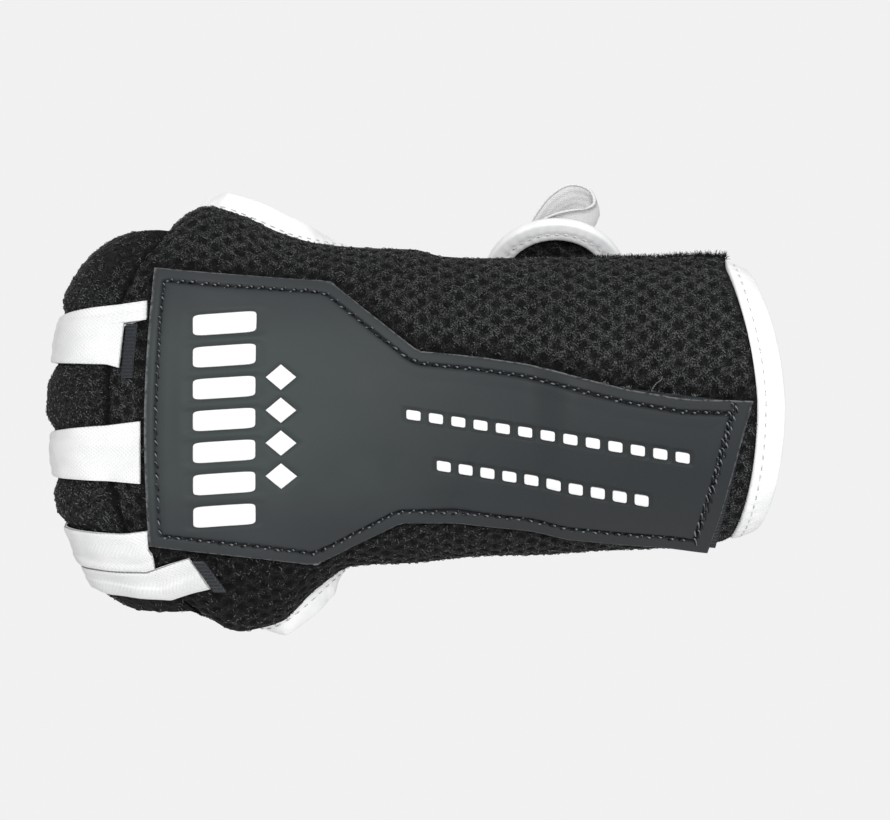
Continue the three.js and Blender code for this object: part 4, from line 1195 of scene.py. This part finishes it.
def binding_section(inner, outer, wall, stitch, puckers):
    """Folded tape: a round outer edge, flat sides with a dip at the stitches and thin inner edges.
    Corners are distances across and up. puckers is one number for each frame, about -1 to 1."""
    half = wall / 2
    direction = np.sign(outer - inner)
    fold = outer - direction * half
    turns = np.radians(np.linspace(90, -90, 11)[1:-1])
    side = np.linspace(inner, fold, 13)
    swell = 0.15 * np.sin(math.pi * np.linspace(0, 1, 13)) ** 0.5
    dip = 0.14 * np.exp(-((side - stitch) / 0.5) ** 2) + 0.25 * np.exp(-np.abs(side - inner) / 0.4)
    pucker = 0.06 * puckers[:, None] * np.exp(-((side - stitch) / 1.6) ** 2)
    line = half + swell - dip + pucker
    up = np.concatenate([line, line[:, -1:] * signed_power(np.sin(turns), 0.7), -line[:, ::-1]], 1)
    across = np.concatenate([side, fold + direction * half * np.cos(turns) ** 0.6, side[::-1]])
    return join(across, up)


def bound_edge(name, points, across, up, closed, inner, outer, wall, stitch):
    """A folded binding with its stitches on both faces, but none where it twists sharply."""
    lengths = arc_lengths(points)
    pitch = BINDING_STITCH_PITCH
    puckers = np.cos(2 * math.pi * lengths / pitch) + 0.5 * np.sin(lengths / 5.1)
    section = binding_section(inner, outer, wall, stitch, puckers)
    add_piece(sweep(name, points, across, up, section, closed), "white_binding", name)
    height = wall / 2 + 0.14 + np.array([[-0.4], [-0.06], [0], [-0.06], [-0.4]])
    paths = []
    for face in (1, -1):
        for start in np.arange(0.6, lengths[-1] - pitch, pitch):
            at = start + pitch * 0.74 * np.linspace(0, 1, 5)
            place, aside, rise = (rows_at(at, lengths, rows) for rows in (points, across, up))
            if dot(rise[0], rise[-1]) >= 0.85:
                paths.append(place + aside * stitch + rise * face * height)
    radii = 0.14 * np.array([0.6, 1, 1, 1, 0.6])
    add_piece(threads(name + "_stitches", paths, radii), "white_binding", material=WHITE_THREAD)


def wrist_binding():
    angle = np.linspace(*WRIST_BINDING_ANGLES, WRIST_BINDING_FRAMES)
    tuck = np.where(angle < -180, tuck_at(angle + 360), 0)
    edge = hem_x(angle)
    points = body_point(edge, angle, tuck + MESH_WALL / 2)
    inner = body_point(edge - HEM_WIDTH, angle, tuck + MESH_WALL / 2)
    across = unit(inner - points)
    around = body_point(edge, angle - 1, tuck) - body_point(edge, angle + 1, tuck)
    up = unit(np.cross(around, across))
    bound_edge("wrist_binding", points, across, up, False, HEM_WIDTH + 0.4, -0.4, BINDING_WALL, 4.4)


def palm_binding():
    x, angle, _ = PALM_EDGE.T
    points, place = catmull_rom(body_point(x, angle, MESH_WALL / 2), True, PALM_BINDING_FRAMES)
    along = unit(np.roll(points, -1, 0) - np.roll(points, 1, 0))
    rows = np.append(PALM_EDGE, PALM_EDGE[:1], axis=0)
    x, angle, flare = rows_at(place, np.arange(len(rows)), rows).T
    normal = body_normal(x, angle)
    inward = unit(np.cross(along, normal))
    flare = np.radians(flare)[:, None]
    across = unit(inward * np.cos(flare) + normal * np.sin(flare))
    up = unit(np.cross(along, across))
    bound_edge("palm_binding", points, across, up, True, -0.8, BINDING_WIDTH, BINDING_WALL, 1.2)


def closure_tab():
    u, v = shares(*SMALL_GRID)
    radius = TAB.radius - TAB.field_inset
    side = radius * TAB.field_breadth * (2 * u - 1)
    top = TAB.arc_height + np.sqrt(np.maximum(radius**2 - side**2, 0))
    height = lerp(-TAB.skirt, top, v)
    base = tab_point(TAB.mid_x + side, height, TAB.wall / 2)
    cloth = join(side, height)
    relief = mesh_relief(cloth, 0.25, seed=41)
    piece = cover("closure_tab", "spacer_mesh", base, relief, TAB.wall, 1, cloth)


def tab_binding():
    half = TAB.border / 2
    radius = TAB.radius - half
    leg = np.linspace(-TAB.skirt, TAB.arc_height, TAB_LEG_FRAMES, endpoint=False)
    turns = np.pi * (np.linspace(0, 1, TAB_ARC_FRAMES) - 0.5)
    side = np.concatenate([0 * leg - radius, radius * np.sin(turns), 0 * leg + radius])
    height = np.concatenate([leg, TAB.arc_height + radius * np.cos(turns), leg[::-1]])
    x = TAB.mid_x + side
    points = tab_point(x, height)
    along = unit(np.gradient(points, axis=0))
    rightward = tab_point(x + 1, height) - tab_point(x - 1, height)
    upward = tab_point(x, height + 0.5) - tab_point(x, height - 0.5)
    up = unit(np.cross(rightward, upward))
    across = unit(np.cross(up, along))
    outward = points - tab_point(TAB.mid_x, TAB.arc_height)
    across *= np.sign(dot(across, outward).sum())
    bound_edge("tab_binding", points, across, up, False, -half, half, BINDING_WALL - 0.6, -half * 0.25)


def pull_loop():
    rows, columns = LOOP_GRID
    middle, _ = catmull_rom(LOOP, False, rows)
    along = unit(np.gradient(middle, axis=0))
    level = np.hypot(along[:, :1], along[:, 1:2])
    v = np.linspace(0, 1, columns)
    across = LOOP_TAPE_WIDTH * (0.5 - v)
    lean = across * along[:, 2:] / level
    tilt = LOOP_TILT * smooth(middle[:, :1], *LOOP_TILT_RANGE)
    x = middle[:, :1] - lean * along[:, :1] - tilt * (np.hypot(across - 1.5, 1) - 1)
    away = middle[:, 1:2] - lean * along[:, 1:2]
    base = relaxed(tab_point(x, middle[:, 2:] + across * level, away), passes=10)
    cloth = join(arc_lengths(middle)[:, None], across)
    edge = np.minimum(v, 1 - v) * LOOP_TAPE_WIDTH
    relief = 0.08 * ripple(cloth, 9, seed=51) - 0.12 * fade(edge, 0, 0.9)
    relief += 0.04 * np.sin(2 * math.pi * across / 1.9)
    cover("pull_loop", "grey_tape", lifted(base, TAPE_WALL / 2), relief, TAPE_WALL, 1, cloth)


def curl_path(start, heading, length, draw):
    """A short fibre that leaves along its heading and bends at random."""
    points = [start]
    heading = unit(heading)
    for _ in range(4):
        heading = unit(heading + draw.normal(0, 0.4, 3))
        points.append(points[-1] + heading * length / 4)
    return points


def edge_fuzz(base):
    """Fibres along the raw thumb edge of the back, from the wrist binding to the grip tab's middle."""
    draw = np.random.default_rng(61)
    edge = base[:, 0]
    normal = grid_normals(base)[:, 0]
    paths = []
    radii = []
    for _ in range(FUZZ_COUNT):
        x = FUZZ_START_X - FUZZ_REACH * draw.uniform(0, 1) ** 1.2
        i = np.abs(edge[:, 0] - x).argmin()
        start = edge[i] - normal[i] * draw.uniform(0, 1) ** 2 * MESH_WALL
        heading = np.array([draw.normal(0, 0.5), draw.uniform(-0.2, 0.6), draw.uniform(0.6, 1.4)])
        length = draw.uniform(0.5, 1.3) * (1 + 0.6 * smooth(x, -34, -14))
        paths.append(curl_path(start, heading, length, draw))
        radii.append(draw.uniform(0.06, 0.1) * FUZZ_TAPER)
    add_piece(threads("edge_fuzz", paths, radii, 3), "spacer_mesh", material=FUZZ)


def patch_fuzz():
    """Small light tufts caught under the patch's upper edge, and one loose thread."""
    draw = np.random.default_rng(71)
    paths = []
    for tuft_x, tuft_z in TUFTS:
        for _ in range(TUFT_FIBRES):
            x = tuft_x + draw.normal(0, 0.5)
            z = tuft_z + draw.uniform(-0.3, 0.2)
            start = join(x, drape_y(x, z) - PATCH_LIFT - 0.6, z)
            heading = np.array([draw.normal(0, 0.9), draw.uniform(-0.7, 0), draw.uniform(0.2, 1)])
            paths.append(curl_path(start, heading, draw.uniform(0.6, 1.5), draw))
    add_piece(threads("patch_fuzz", paths, TUFT_RADII, 4), "patch_rubber", material=LIGHT_FUZZ)
    plan, _ = catmull_rom(LOOSE_THREAD, False, 24)
    x, z = plan.T
    y = drape_y(x, z) - 0.5 - 0.9 * np.sin(np.linspace(0.3, 2.6, 24))
    add_piece(threads("loose_thread", [join(x, y, z)], 0.1), "dark_twill", material=LIGHT_FUZZ)


def make_camera():
    data = bpy.data.cameras.new("camera")
    data.lens = CAMERA_LENS
    data.sensor_width = 36
    data.clip_start = 0.01
    camera = new_object("camera", data)
    camera.location = Vector(CAMERA_PLACE) * MM
    camera.rotation_euler = (math.pi / 2, 0, 0)
    bpy.context.scene.camera = camera


def area_light(name, place, size, power):
    data = bpy.data.lights.new(name, "AREA")
    data.shape = "DISK"
    data.size = size
    data.energy = power
    light = new_object(name, data)
    light.location = place
    light.rotation_euler = (Vector(LIGHT_AIM) - Vector(place)).to_track_quat("-Z", "Y").to_euler()


def make_studio():
    """A pale world that lights less than it shows, soft lights, and the floor."""
    scene = bpy.context.scene
    scene.view_settings.view_transform = "Standard"
    world = bpy.data.worlds.new("studio")
    world.use_nodes = True
    tree = world.node_tree
    rays = tree.nodes.new("ShaderNodeLightPath")
    level = tree.nodes.new("ShaderNodeMapRange")
    level.inputs["To Min"].default_value = AMBIENT
    level.inputs["To Max"].default_value = BACKGROUND
    tree.links.new(rays.outputs["Is Camera Ray"], level.inputs["Value"])
    tree.nodes["Background"].inputs[0].default_value = (1, 1, 1, 1)
    tree.links.new(level.outputs[0], tree.nodes["Background"].inputs["Strength"])
    scene.world = world
    for light in LIGHTS:
        area_light(*light)
    turns = np.linspace(0, 2 * math.pi, FLOOR_SIDES, endpoint=False)
    rim = join(FLOOR_RADIUS * np.cos(turns), FLOOR_RADIUS * np.sin(turns), -FLOOR_DROP)
    floor = make_mesh("floor", rim, [list(range(FLOOR_SIDES))])
    floor.data.materials.append(floor_material())


make_camera()
make_studio()
panel_grid = back_panel()
finger_band()
palm_strap()
knuckle_pad()
patch_lines = back_patch()
patch_print()
patch_stitches(*patch_lines)
patch_backing()
for tab in ANCHOR_TABS:
    anchor_tab(tab)
for tape in TAPES:
    finger_tape(tape)
wrist_binding()
palm_binding()
closure_tab()
tab_binding()
pull_loop()
edge_fuzz(panel_grid)
patch_fuzz()
